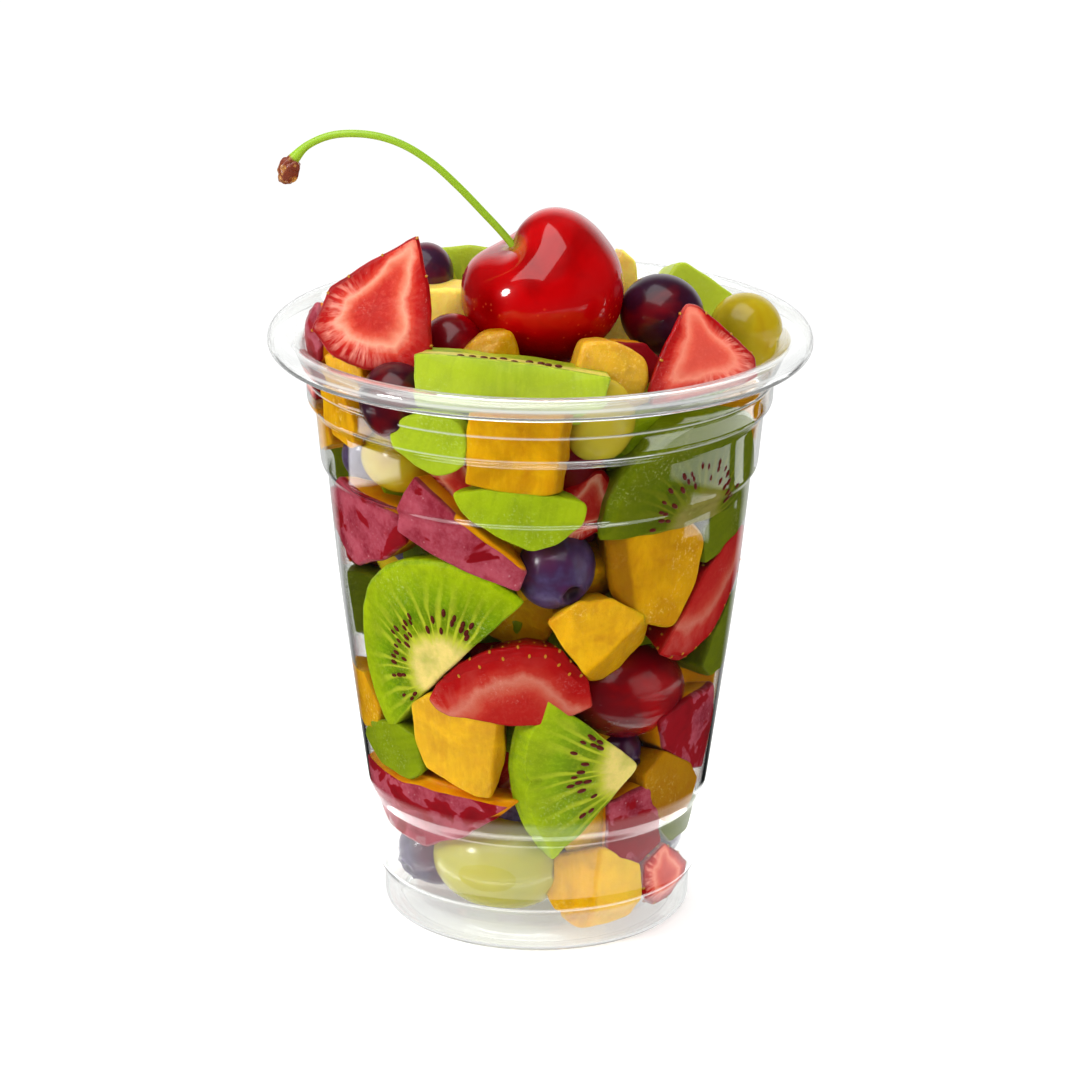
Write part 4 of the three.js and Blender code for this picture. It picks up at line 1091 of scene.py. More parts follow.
# ------------------------------------------------------------------ materials
class Shade:
    """A material in the making: nodes are added by type, with their inputs given by name."""

    def __init__(self, name, kind="materials"):
        self.material = getattr(bpy.data, kind).new(name)
        self.material.use_nodes = True
        self.tree = self.material.node_tree
        self.tree.nodes.clear()

    def node(self, kind, inputs=(), **settings):
        """Add a node; a socket given as an input is linked, anything else is its value."""
        made = self.tree.nodes.new("ShaderNode" + kind)
        for key, value in settings.items():
            setattr(made, key, value)
        for key, value in dict(inputs).items():
            if isinstance(value, bpy.types.NodeSocket):
                self.tree.links.new(value, made.inputs[key])
            elif isinstance(value, tuple) and len(value) == 3 and made.inputs[key].type == "RGBA":
                made.inputs[key].default_value = (*value, 1)
            else:
                made.inputs[key].default_value = value
        return made

    def chain(self, *links):
        """Link the first output of one shader to a socket of the next, for each triple."""
        for start, end, socket in links:
            self.tree.links.new(start.outputs[0], end.inputs[socket])

    def attribute(self, name):
        """A number that the mesh holds at its points."""
        return self.node("Attribute", attribute_name=name).outputs["Fac"]

    def fruit(self):
        """The places within the fruit that the mesh holds."""
        return self.node("Attribute", attribute_name="fruit").outputs["Vector"]

    def place(self, scale=1 / MM):
        """Object coordinates, in millimetres unless another scale is given."""
        found = self.node("TexCoord").outputs["Object"]
        return self.node("VectorMath", {0: found, "Scale": scale}, operation="SCALE").outputs[0]

    def split(self, vector):
        """The x, y and z of a vector."""
        return tuple(self.node("SeparateXYZ", {0: vector}).outputs)

    def join(self, x=0.0, y=0.0, z=0.0):
        """The vector of three numbers."""
        return self.node("CombineXYZ", {0: x, 1: y, 2: z}).outputs[0]

    def length(self, vector):
        """How long a vector is."""
        return self.node("VectorMath", {0: vector}, operation="LENGTH").outputs["Value"]

    def direction(self, x, y):
        """The parts of the direction of (x, y)."""
        way = self.node("VectorMath", {0: self.join(x, y)}, operation="NORMALIZE").outputs[0]
        return self.split(way)[:2]

    def noise(self, vector, scale, detail=2.0, roughness=0.5, distortion=0.0):
        """Cloudy noise about 0.5, with the scale's number of waves to a unit."""
        return self.node("TexNoise", {"Vector": vector, "Scale": scale, "Detail": detail,
                                      "Roughness": roughness,
                                      "Distortion": distortion}).outputs["Fac"]

    def cells(self, vector, scale):
        """The distance to the nearest of some scattered points, and a random number for it."""
        cell = self.node("TexVoronoi", {"Vector": vector, "Scale": scale, "Randomness": 1.0})
        pick = self.node("SeparateColor", {0: cell.outputs["Color"]}).outputs[0]
        return cell.outputs["Distance"], pick

    def math(self, kind, a, b=0.0, c=0.0):
        """One operation on up to three numbers."""
        return self.node("Math", {0: a, 1: b, 2: c}, operation=kind).outputs[0]

    def product(self, first, *others):
        """All the numbers multiplied."""
        for other in others:
            first = self.math("MULTIPLY", first, other)
        return first

    def shifted(self, value, noise, amount):
        """The value moved up and down by the noise about its middle, times the amount."""
        sway = self.product(self.math("SUBTRACT", noise, 0.5), amount)
        return self.math("ADD", value, sway)

    def span(self, value, low, high, to_low=0.0, to_high=1.0):
        """The value's share of the way from low to high, clamped."""
        return self.node("MapRange", {"Value": value, "From Min": low, "From Max": high,
                                      "To Min": to_low, "To Max": to_high}).outputs[0]

    def between(self, value, low, high, fade):
        """1 from low to high, fading to 0 within those ends."""
        return self.product(self.span(value, low, low + fade), self.span(value, high, high - fade))

    def blend(self, share, a, b):
        """The number a or b by the share."""
        return self.node("Mix", {0: share, 2: a, 3: b}, data_type="FLOAT").outputs[0]

    def mix(self, share, a, b):
        """The colour a or b by the share."""
        return self.node("Mix", {0: share, 6: a, 7: b}, data_type="RGBA").outputs[2]

    def wash(self, base, tint, value, low, high, share=1.0):
        """The base tinted by up to the share, as the value goes from low to high."""
        return self.mix(self.span(value, low, high, 0.0, share), base, tint)

    def ramp(self, value, *stops):
        """A colour by the value: the stops are (value, colour), with straight blends between."""
        made = self.node("ValToRGB", {0: value})
        line = made.color_ramp
        while len(line.elements) < len(stops):
            line.elements.new(0.5)
        for element, (at, tint) in zip(line.elements, stops):
            element.position = at
            element.color = (*tint, 1)
        return made.outputs[0]

    def bump(self, height, strength, distance=0.0003):
        """The surface's direction tilted by the slope of the height, which spans the distance."""
        return self.node("Bump", {"Height": height, "Strength": strength,
                                  "Distance": distance}).outputs[0]

    def mirrored(self):
        """1 where a surface mirrors what is seen, 0 straight on or through clear plastic."""
        path = self.node("LightPath")
        once = self.math("MINIMUM", path.outputs["Glossy Depth"], 1.0)
        return self.product(path.outputs["Is Glossy Ray"], once)

    def finish(self, base, roughness, normal, **values):
        """A Principled surface; values name its other sockets with _ for spaces."""
        inputs = {"Base Color": base, "Roughness": roughness, "Normal": normal}
        inputs.update({key.replace("_", " "): value for key, value in values.items()})
        shader = self.node("BsdfPrincipled", inputs)
        self.chain((shader, self.node("OutputMaterial"), 0))
        return self.material


def scaled(tint, share):
    """A colour made lighter or darker, at most 1 in each part."""
    return tuple(min(part * share, 1.0) for part in tint)


# Juice fills the gap between the wall and the fruit behind it, so that fruit hardly shines.
IN_CUP = dict(Specular_IOR_Level=0.08, Coat_Weight=0.1, Coat_Roughness=0.05)
ON_TOP = dict(Specular_IOR_Level=0.28, Coat_Weight=0.28, Coat_Roughness=0.08)
BERRY_SHINE = dict(Specular_IOR_Level=0.3, Coat_Weight=0.4, Coat_Roughness=0.1)


def juicy(film, depth, radius):
    """The shared values of juicy flesh: light goes in and out again, under a film of juice."""
    return dict(Subsurface_Weight=depth, Subsurface_Radius=radius, Subsurface_Scale=MM,
                IOR=1.38, **film)


def sparkle(s, place):
    """The film's own bump: tiny wet ripples, in patches."""
    patch = s.span(s.noise(place, 0.17, 2.0, 0.6), 0.5, 0.62)
    ripple = s.noise(place, 1.9, 3.0, 0.75)
    return s.bump(s.product(ripple, s.math("MULTIPLY_ADD", patch, 0.8, 0.2)), 0.9, 0.0005)


def painted_glints(s, place, size, patch_size, share):
    """Painted glints of wet grains: the peaks of a fine noise inside the patches of a coarse one.
    """
    patch = s.span(s.noise(place, patch_size, 2.0, 0.5), 0.52, 0.66)
    peaks = s.span(s.noise(place, size, 4.0, 0.75), 0.54, 0.68)
    return s.product(peaks, patch, share)


def kiwi_material(settings, film):
    """Kiwi: a cream core, pale spokes over the dark flesh where the seeds lie, then green.

    A spoke is the sine of thirty-four times the angle round the core, swayed by noise.
    """
    s = Shade("kiwi_flesh")
    green, core = tuple(settings.kiwi), tuple(settings.kiwi_core)
    x, y, z = s.split(s.fruit())
    place, radius = s.place(), s.length(s.join(x, y))
    wx, wy = s.direction(x, y)
    sway = s.noise(s.join(wx, wy, s.math("MULTIPLY_ADD", radius, 0.5, z)), 2.2, 2.0)
    angle = s.math("MULTIPLY_ADD", s.math("ARCTAN2", y, x), 34.0, s.product(sway, 20.0))
    spoke = s.span(s.math("SINE", angle), 0.2, 0.95)
    fine = s.noise(s.join(wx, wy, s.math("MULTIPLY_ADD", radius, 0.7, s.product(z, 0.2))), 18.0)
    blot = s.noise(place, 0.2, 3.0, 0.55)
    grain = s.noise(place, 1.6, 3.0, 0.7)
    edge = s.shifted(radius, sway, 0.16)
    flesh = s.ramp(edge, (0.0, scaled(core, 1.05)), (0.28, core), (0.36, srgb(186, 182, 62)),
                   (0.42, srgb(110, 132, 0)), (0.56, srgb(84, 116, 0)),
                   (0.7, srgb(108, 142, 0)), (0.86, green), (1.0, srgb(156, 176, 4)))
    spoked = s.product(spoke, s.span(edge, 0.28, 0.38), s.span(edge, 0.92, 0.55), 0.85)
    flesh = s.mix(spoked, flesh, srgb(190, 194, 48))
    outer = s.span(radius, 0.25, 0.5)
    light, dark = s.span(fine, 0.48, 0.75, 0.0, 0.35), s.span(fine, 0.52, 0.3, 0.0, 0.25)
    flesh = s.mix(s.product(light, outer), flesh, srgb(152, 178, 4))
    flesh = s.mix(s.product(dark, outer), flesh, srgb(86, 118, 0))
    flesh = s.wash(flesh, scaled(green, 0.6), blot, 0.42, 0.7, 0.5)
    skin = s.wash(srgb(130, 158, 0), srgb(160, 184, 2), fine, 0.35, 0.7)
    skin = s.wash(skin, scaled(green, 0.75), blot, 0.4, 0.7, 0.5)
    base = s.mix(s.attribute("skin"), flesh, skin)
    base = s.wash(base, srgb(190, 206, 50), grain, 0.5, 0.8, 0.35)
    tone = s.attribute("tone")
    base = s.wash(base, srgb(70, 74, 0), tone, 0.0, -1.0, 0.85)
    base = s.wash(base, srgb(196, 214, 62), tone, 0.0, 1.0, 0.75)
    # Painted glints: pale spots that stand for wet highlights.
    base = s.mix(painted_glints(s, place, 1.7, 0.1, 0.25), base, srgb(226, 232, 150))
    base = s.mix(s.attribute("seed"), base, srgb(84, 26, 20))
    height = s.math("ADD", grain, s.product(fine, 0.5))
    return s.finish(base, s.span(blot, 0.3, 0.7, 0.3, 0.45), s.bump(height, 0.3),
                    Coat_Normal=sparkle(s, place), **juicy(film, 0.2, (1.3, 1.8, 0.3)))


def mango_material(settings, film):
    """Mango: clear golden flesh clouded by noise; painted glints, and painted shade on its sides.
    """
    s = Shade("mango_flesh")
    gold = tuple(settings.mango)
    fruit, place = s.fruit(), s.place()
    cloud = s.noise(fruit, 0.09, 4.0, 0.55, 0.8)
    deep = s.noise(fruit, 0.22, 3.0, 0.6, 0.4)
    x, y, z = s.split(fruit)
    fibre = s.noise(s.join(x, s.product(y, 0.3), z), 0.9, 3.0, 0.65)
    base = s.wash(scaled(gold, 0.62), srgb(232, 174, 2), cloud, 0.32, 0.66)
    base = s.wash(base, srgb(184, 114, 0), deep, 0.5, 0.7, 0.5)
    base = s.wash(base, srgb(242, 192, 20), fibre, 0.5, 0.75, 0.35)
    base = s.wash(base, srgb(190, 122, 0), fibre, 0.46, 0.3, 0.2)
    tone = s.attribute("tone")
    # A tone below 0 darkens, both for random tone and for painted shade beyond a ridge.
    base = s.wash(base, srgb(138, 88, 0), tone, 0.0, -1.0, 0.85)
    base = s.wash(base, srgb(250, 212, 84), tone, 0.0, 1.0, 0.7)
    # Painted light: a tone above 1, given to the two mango pieces at the back, makes the flesh
    # paler as if more light fell on it.
    base = s.wash(base, srgb(255, 230, 112), tone, 1.0, 1.6, 0.9)
    # Painted shade: the sides of a piece, where the skin value rises, turn a darker orange.
    base = s.wash(base, srgb(204, 124, 0), s.attribute("skin"), 0.4, 1.0, 0.25)
    # Painted glints: pale flecks that stand for the glints of wet grain.
    base = s.mix(painted_glints(s, place, 1.4, 0.1, 0.45), base, srgb(255, 226, 128))
    height = s.math("ADD", s.noise(place, 1.1, 4.0, 0.7), s.product(fibre, 0.8))
    return s.finish(base, s.span(deep, 0.3, 0.7, 0.28, 0.42), s.bump(height, 0.55, 0.0005),
                    Coat_Normal=sparkle(s, place), **juicy(film, 0.55, (3.0, 1.5, 0.1)))


def nectarine_material(settings, film):
    """Nectarine: wine-red skin, dusty with pale specks where dry and deep red where wet."""
    s = Shade("nectarine_skin")
    red, orange = tuple(settings.nectarine), tuple(settings.nectarine_flesh)
    fruit, place = s.fruit(), s.place()
    cloud = s.noise(fruit, 0.13, 3.0, 0.55, 0.5)
    broad = s.noise(fruit, 0.2, 3.0, 0.55)
    dust = s.noise(place, 1.1, 4.0, 0.75)
    dry = s.span(s.math("MULTIPLY_ADD", s.attribute("tone"), 0.16, cloud), 0.445, 0.475)
    rosy = s.wash(srgb(126, 20, 38), srgb(168, 70, 84), broad, 0.35, 0.65)
    rosy = s.wash(rosy, srgb(190, 100, 116), dust, 0.42, 0.7, 0.3)
    distance, pick = s.cells(place, 1.0)
    speck = s.product(s.span(distance, 0.24, 0.1), s.span(pick, 0.55, 0.95), 0.3)
    rosy = s.mix(speck, rosy, srgb(220, 170, 174))
    wet = s.wash(scaled(red, 0.5), red, cloud, 0.2, 0.45)
    flesh = s.wash(orange, srgb(238, 166, 10), s.noise(fruit, 0.3, 3.0), 0.3, 0.7)
    base = s.wash(flesh, s.mix(dry, wet, rosy), s.attribute("skin"), 0.35, 0.65)
    return s.finish(base, s.span(dust, 0.3, 0.7, 0.32, 0.5), s.bump(dust, 0.25, 0.0002),
                    Coat_Normal=sparkle(s, place), **juicy(film, 0.15, (1.4, 0.3, 0.2)))


def strawberry_material(settings, film):
    """Strawberry: the cut face has a red rim, a pale band of veins and a salmon middle.

    The third part of fruit is the share of the way from the middle to the skin. Noise of the
    direction gives the streaks that cross the rim, strongest where the direction is -x.
    """
    s = Shade("strawberry_flesh")
    red, pink = tuple(settings.strawberry), tuple(settings.strawberry_flesh)
    x, y, share = s.split(s.fruit())
    wx, wy = s.direction(x, y)
    place = s.place()
    streak = s.noise(s.join(wx, wy, s.product(share, 0.3)), 9.0, 3.0, 0.55)
    cloud = s.noise(place, 0.3, 3.0, 0.6)
    grain = s.noise(place, 1.3, 4.0, 0.7)
    face = s.ramp(s.shifted(share, cloud, 0.24), (0.0, srgb(184, 36, 28)),
                  (0.26, srgb(194, 44, 34)), (0.38, srgb(212, 74, 54)),
                  (0.48, srgb(228, 124, 96)), (0.56, srgb(238, 160, 132)),
                  (0.66, srgb(210, 62, 44)), (0.77, srgb(184, 10, 6)), (0.95, srgb(154, 0, 0)))
    rays = s.product(s.span(streak, 0.42, 0.66), s.span(wx, 0.1, -0.6, 0.08, 1.0),
                     s.span(share, 0.40, 0.60), s.span(share, 0.97, 0.80), 0.75)
    face = s.mix(rays, face, srgb(246, 168, 146))
    pulp = s.product(s.span(grain, 0.5, 0.72, 0.0, 0.25), s.span(share, 0.78, 0.6))
    face = s.mix(pulp, face, srgb(240, 120, 100))
    skin, tone = s.attribute("skin"), s.attribute("tone")
    peel = s.wash(scaled(red, 0.5), red, cloud, 0.3, 0.7)
    base = s.wash(face, peel, skin, 0.35, 0.65)
    ripe = s.product(s.span(tone, 0.0, 1.0, 0.0, 0.6), s.span(share, 0.8, 0.6))
    base = s.mix(ripe, base, pink)
    base = s.wash(base, srgb(150, 12, 14), tone, 0.0, -1.0, 0.7)
    # Painted glints: pale spots on the face that stand for wet highlights.
    glints = s.product(painted_glints(s, place, 2.0, 0.12, 0.15), s.span(skin, 0.6, 0.2))
    base = s.mix(glints, base, srgb(255, 206, 196))
    base = s.mix(s.attribute("seed"), base, srgb(184, 124, 34))
    height = s.math("ADD", grain, s.product(streak, 0.8))
    return s.finish(base, s.span(cloud, 0.3, 0.7, 0.28, 0.42), s.bump(height, 0.4, 0.0004),
                    Coat_Normal=sparkle(s, place), **juicy(film, 0.25, (2.0, 0.6, 0.3)))


# Each berry: its bloom and how strong that is, its painted glow (a colour that stands for light
# shining through), its tone where paler, its stem end, how far light goes in, and its roughness.
BERRY_FINISHES = {
    "green_grape": dict(bloom=srgb(196, 184, 50), bloom_share=0.15, glow=srgb(150, 112, 0),
                        pale=srgb(186, 196, 96), end=srgb(104, 66, 10), depth=0.5, rough=0.2),
    "red_grape": dict(bloom=srgb(130, 16, 50), bloom_share=0.12, glow=srgb(164, 0, 4),
                      pale=srgb(170, 40, 60), end=srgb(50, 0, 6), depth=0.12, rough=0.24),
    "black_grape": dict(bloom=srgb(62, 52, 98), bloom_share=0.14, glow=srgb(130, 0, 8),
                        pale=srgb(80, 60, 100), end=srgb(30, 14, 10), depth=0.04, rough=0.28),
    "blueberry": dict(bloom=srgb(114, 98, 144), bloom_share=0.6, glow=srgb(92, 8, 40),
                      pale=srgb(90, 76, 130), end=srgb(26, 4, 22), depth=0.04, rough=0.28),
}


def berry_material(kind, settings):
    """A smooth berry: bloom in clouds over its skin, a lighter painted glow, and its stem end.

    The third part of fruit is the height along the berry's own axis, 1 at the stem end.
    """
    s = Shade(f"{kind}_skin")
    look, tint = BERRY_FINISHES[kind], tuple(getattr(settings, kind))
    height, place = s.split(s.fruit())[2], s.place()
    cloud = s.noise(place, 0.1, 3.0, 0.5, 0.4)
    dust = s.noise(place, 1.0, 3.0, 0.65)
    base = s.wash(scaled(tint, 0.6), tint, cloud, 0.35, 0.65)
    # Painted glow: a warmer colour in clouds that stands for light shining through the berry.
    base = s.wash(base, look["glow"], cloud, 0.5, 0.68, 0.7)
    powder = s.product(s.span(dust, 0.3, 0.65, 0.3, 1.0), s.span(cloud, 0.56, 0.38))
    base = s.mix(s.product(powder, look["bloom_share"]), base, look["bloom"])
    tone = s.attribute("tone")
    base = s.wash(base, scaled(tint, 0.5), tone, 0.0, -1.0, 0.5)
    base = s.wash(base, look["pale"], tone, 0.0, 1.0)
    base = s.wash(base, look["end"], s.math("MULTIPLY_ADD", dust, 0.01, height), 0.965, 0.985,
                  0.9)
    rough = s.math("MULTIPLY_ADD", powder, 0.3 * look["bloom_share"], look["rough"])
    return s.finish(base, rough, s.bump(dust, 0.05, 0.0002),
                    **juicy(BERRY_SHINE, look["depth"], (2.4, 1.9, 0.5)))


def cherry_material(settings):
    """Cherry: deep glossy red, darker in the dimple and on one side, with pale freckles."""
    s = Shade("cherry_skin")
    red = tuple(settings.skin)
    fruit, place = s.fruit(), s.place()
    height, level = s.split(fruit)[2], s.split(place)[2]
    cloud = s.noise(fruit, 1.5, 3.0, 0.5, 0.5)
    base = s.wash(red, scaled(red, 0.55), cloud, 0.42, 0.72)
    base = s.wash(base, srgb(90, 0, 4), height, 0.86, 0.98, 0.7)
    uneven = s.math("MULTIPLY_ADD", s.noise(place, 0.9, 3.0, 0.7), 0.03, height)
    base = s.wash(base, srgb(150, 104, 50), uneven, 0.988, 1.0, 0.8)
    distance, _ = s.cells(place, 0.85)
    freckle = s.product(s.span(distance, 0.27, 0.1), s.span(s.noise(fruit, 1.7, 1.0), 0.36, 0.5),
                        s.span(level, 121.0, 118.0), 0.7)
    base = s.mix(freckle, base, srgb(232, 88, 50))
    return s.finish(base, 0.25, s.bump(s.noise(place, 0.35), 0.06, 0.0004),
                    Specular_IOR_Level=0.06, Coat_Weight=s.span(level, 115.5, 121.0),
                    Coat_Roughness=0.05, Coat_IOR=1.45, Subsurface_Weight=0.1,
                    Subsurface_Radius=(2.0, 0.1, 0.05), Subsurface_Scale=MM)


def stem_material(settings):
    """Stem: fresh green in two close tones, woody yellow and brown where the skin value is 1."""
    s = Shade("stem_green")
    green, wood = tuple(settings.green), tuple(settings.wood)
    place, ends = s.place(), s.attribute("skin")
    base = s.wash(scaled(green, 0.9), green, s.noise(place, 0.4, 3.0, 0.6), 0.3, 0.7)
    woody = s.wash(srgb(206, 150, 70), wood, s.noise(place, 0.55, 3.0, 0.6), 0.34, 0.5)
    base = s.wash(base, woody, ends, 0.35, 0.7)
    lumps = s.product(s.noise(place, 0.8, 3.0), ends)
    return s.finish(base, 0.4, s.bump(lumps, 0.5), Coat_Weight=0.3, Coat_Roughness=0.2)


def core_material():
    """The hidden middle: patches of the fruits' colours, darker as painted shade for the gaps."""
    s = Shade("heap_middle")
    place = s.place()
    _, pick = s.cells(place, 0.09)
    base = s.ramp(pick, (0.0, srgb(150, 84, 0)), (0.3, srgb(110, 8, 8)),
                  (0.55, srgb(104, 96, 0)), (0.8, srgb(176, 112, 4)), (1.0, srgb(96, 2, 14)))
    return s.finish(base, 0.4, s.bump(s.noise(place, 0.8, 3.0), 0.6, 0.0006), Coat_Weight=0.3,
                    Coat_Roughness=0.2)


def plastic_material(settings):
    """Clear plastic, glass that lets lamps through; white by the skin value, partly painted light.
    """
    s = Shade("clear_plastic")
    glass = s.node("BsdfGlass", {"Color": tuple(settings.tint), "Roughness": 0.0, "IOR": 1.49})
    clear = s.node("BsdfTransparent", {"Color": (0.97, 0.975, 0.97)})
    path = s.node("LightPath")
    unseen = s.math("MAXIMUM", path.outputs["Is Shadow Ray"], path.outputs["Is Diffuse Ray"])
    mixed = s.node("MixShader", {0: unseen})
    # Painted light: the white is half lit and half a glow that no lamp gives.
    milk = s.node("BsdfDiffuse", {"Color": (0.95, 0.95, 0.94)})
    through = s.node("Emission", {"Strength": 1.0})
    milky = s.node("MixShader", {0: 0.5})
    both = s.node("MixShader", {0: s.attribute("skin")})
    output = s.node("OutputMaterial")
    s.chain((glass, mixed, 1), (clear, mixed, 2), (milk, milky, 1), (through, milky, 2),
            (mixed, both, 1), (milky, both, 2), (both, output, 0))
    return s.material


FLESH_MATERIALS = {"kiwi": kiwi_material, "mango": mango_material,
                   "nectarine": nectarine_material, "strawberry": strawberry_material}


@cache
def fruit_material(kind, on_top=False):
    """The material of one kind of fruit in the cup or on top, made once."""
    settings = bpy.context.scene.fruit_cup_fruit
    if kind in FLESH_MATERIALS:
        return FLESH_MATERIALS[kind](settings, ON_TOP if on_top else IN_CUP)
    return berry_material(kind, settings)


# ------------------------------------------------------------------ operators
# Lines on the outer profile painted white: painted highlights along the ledges and lip, partly
# milkiness on the lip, as (radius, height, width, share).
HIGHLIGHT_AND_MILK_LINES = ((48.6, 109.0, 0.35, 0.7), (47.2, 110.4, 0.25, 0.35), (44.6, 109.5, 0.3, 0.6),
         (43.0, 107.6, 0.25, 0.4), (42.6, 102.35, 0.18, 0.45), (42.1, 98.0, 0.15, 0.35),
         (29.75, 8.7, 0.2, 0.4), (28.3, 0.7, 0.35, 0.3))
# The white over the lip and the foot is partly milkiness and partly painted light, for half of it
# glows.
RIM_MILK = 0.2       # share of white over the whole lip
FOOT_MILK = 0.16     # and over the foot
LIP_FROM = 107.2     # height where the lip begins
FOOT_TO = 8.2        # height where the foot ends


def milk_and_highlight_share(points):
    """The share of white: a milky lip and foot, and painted highlights on the lip and sharp
    ledges.
    """
    height = points[:, 1]
    share = (RIM_MILK * np.clip((height - LIP_FROM) / 0.6, 0, 1)
             + FOOT_MILK * np.clip((FOOT_TO - height) / 0.8, 0, 1))
    for radius, level, width, strength in HIGHLIGHT_AND_MILK_LINES:
        away = np.hypot(points[:, 0] - radius, height - level)
        share = np.maximum(share, strength * np.exp(-(away / width) ** 2))
    return share


class FRUITCUP_OT_cup(bpy.types.Operator):
    """Build the clear cup as a lathe of its outer and inner profile"""
    bl_idname = "fruit_cup.cup"
    bl_label = "Build the cup"

    def execute(self, context):
        settings = context.scene.fruit_cup_cup
        wall = settings.wall / MM
        outside = smooth_line(OUTER_PROFILE, 2)
        inside = offset_line(outside, wall)[::-1]
        inside[-1, 0] = 0
        profile = np.vstack([outside, inside])
        turn = np.linspace(0, 2 * np.pi, settings.sides, endpoint=False)
        radius, height = profile[:, :1], profile[:, 1:]
        grid = np.stack([radius * np.cos(turn), radius * np.sin(turn), height + 0 * turn], -1)
        pile = Pile()
        # The cup's skin value is its share of white: milkiness and painted highlights.
        milk = np.concatenate([milk_and_highlight_share(outside), np.zeros(len(inside))])
        pile.add(grid[:, ::-1], skin=milk[:, None])
        made = pile.object("clear_cup", plastic_material(settings))
        hand_in(made, "clear_plastic", "cup")
        return {"FINISHED"}


class FRUITCUP_OT_heap(bpy.types.Operator):
    """Build the fruit in the cup: the pieces against the wall, those behind and the middle"""
    bl_idname = "fruit_cup.heap"
    bl_label = "Build the heap of fruit"

    def execute(self, context):
        settings = context.scene.fruit_cup_fruit
        step = settings.step / MM
        piles = Piles()
        fill_wall(piles, step, settings.seed)
        fill_behind(piles, settings.seed)
        for kind in sorted(piles):
            made = piles[kind].object(f"{kind}_in_cup", fruit_material(kind))
            hand_in(made, kind, "fruit_heap")
        core = Pile()
        core.add(core_surface(settings.seed))
        made = core.object("heap_middle", core_material())
        hand_in(made, "mixed_fruit", "fruit_heap")
        return {"FINISHED"}


class FRUITCUP_OT_toppings(bpy.types.Operator):
    """Build the pieces of fruit on top, each in place of its own node"""
    bl_idname = "fruit_cup.toppings"
    bl_label = "Build the fruit on top"

    def execute(self, context):
        settings = context.scene.fruit_cup_fruit
        for number, (name, piece) in enumerate(TOPPINGS.items()):
            pile = Pile()
            add_topping(pile, name, settings.step / MM, TOPPING_SEED + number)
            made = pile.object(f"{name}_piece", fruit_material(piece["kind"], True))
            hand_in(made, piece["kind"], name)
        return {"FINISHED"}


class FRUITCUP_OT_cherry(bpy.types.Operator):
    """Build the cherry and its stem"""
    bl_idname = "fruit_cup.cherry"
    bl_label = "Build the cherry"

    def execute(self, context):
        settings = context.scene.fruit_cup_cherry
        pile = Pile()
        unit, points = cherry_surface(settings.radius / MM)
        pile.add(points, fruit=unit, skin=1.0)
        made = pile.object("cherry_fruit", cherry_material(settings))
        hand_in(made, "cherry_skin", "cherry")
        pile = Pile()
        along, points = stem_surface(settings.stem / MM)
        woody = np.concatenate([[0], along, [1]])
        woody = np.maximum(np.exp(-(woody / WOODY_FOOT) ** 2),
                           np.exp(-((1 - woody) / WOODY_TIP) ** 2))
        pile.add(points[:, ::-1], skin=woody[:, None])
        for shift, radii, seed in KNOB_LUMPS:
            _, lump = ball(radii, 24, 28)
            lump = close_poles(wobble(lump, 1.8, 0.28, seed))
            pile.add(lump + KNOB_AT + np.array(shift), skin=1.0)
        made = pile.object("cherry_stem_stalk", stem_material(settings))
        hand_in(made, "green_stem", "cherry_stem")
        return {"FINISHED"}


CAMERA_AT = (0, -0.7068, 0.3102)
CAMERA_PITCH = 0.3279           # radians below level
CAMERA_ROLL = 0.0068            # radians
CAMERA_SHIFT = 0.001            # sideways, as a share of the frame
SENSOR = 36                     # width of the camera's sensor, in millimetres
RENDER_SIDE = 1080              # pixels
FOCAL_PIXELS = 4072.5           # the lens's focal length in those pixels
CAMERA_LENS = FOCAL_PIXELS / RENDER_SIDE * SENSOR
LAMPS_AIM = (0, 0, 0.08)        # the point that every lamp faces
WHITE = (1.0, 1.0, 1.0)
# Each softbox: its name, place and size, the setting of its power, and the rays that miss it.
# The key and the window are one lamp: the first lights the fruit and the second is mirrored.
SOFTBOXES = (("key", (-0.1, -0.42, 0.85), (1.05, 0.85), "key", "visible_glossy"),
             ("window", (-0.24, -0.26, 0.91), (0.9, 0.95), "key", "visible_diffuse"),
             ("left", (-0.62, -0.25, 0.2), (0.5, 0.5), "side", "visible_glossy"),
             ("right", (0.62, -0.25, 0.2), (0.5, 0.5), "side", "visible_glossy"),
             ("back", (0.05, 0.4, 0.6), (0.5, 0.4), "back", "visible_glossy"))
SPOT_AT = (-0.43, -0.22, 0.26)
SPOT_SIZE = 0.1
# How brightly the floor is mirrored, by the distance from the cup's axis in decimetres.
FLOOR_RINGS = ((0.380, (0.16,) * 3), (0.386, WHITE), (0.450, WHITE), (0.458, (0.3,) * 3),
               (0.625, (0.3,) * 3), (0.655, (0.0,) * 3))
# Bright cards that the cup's wall mirrors from the floor. Each: 1 on the right or -1 on the left,
# its nearest and furthest distance from the axis, its front and back edge, and its brightness.
CARDS = ((1, 0.296, 0.40, -0.2, 0.185, 2.8), (1, 0.221, 0.265, -0.092, 0.086, 1.9),
         (1, 0.221, 0.265, 0.105, 0.15, 2.1), (1, 0.190, 0.218, -0.035, 0.04, 2.3),
         (-1, 0.221, 0.262, -0.072, 0.09, 2.8), (-1, 0.296, 0.36, -0.095, 0.03, 3.0))


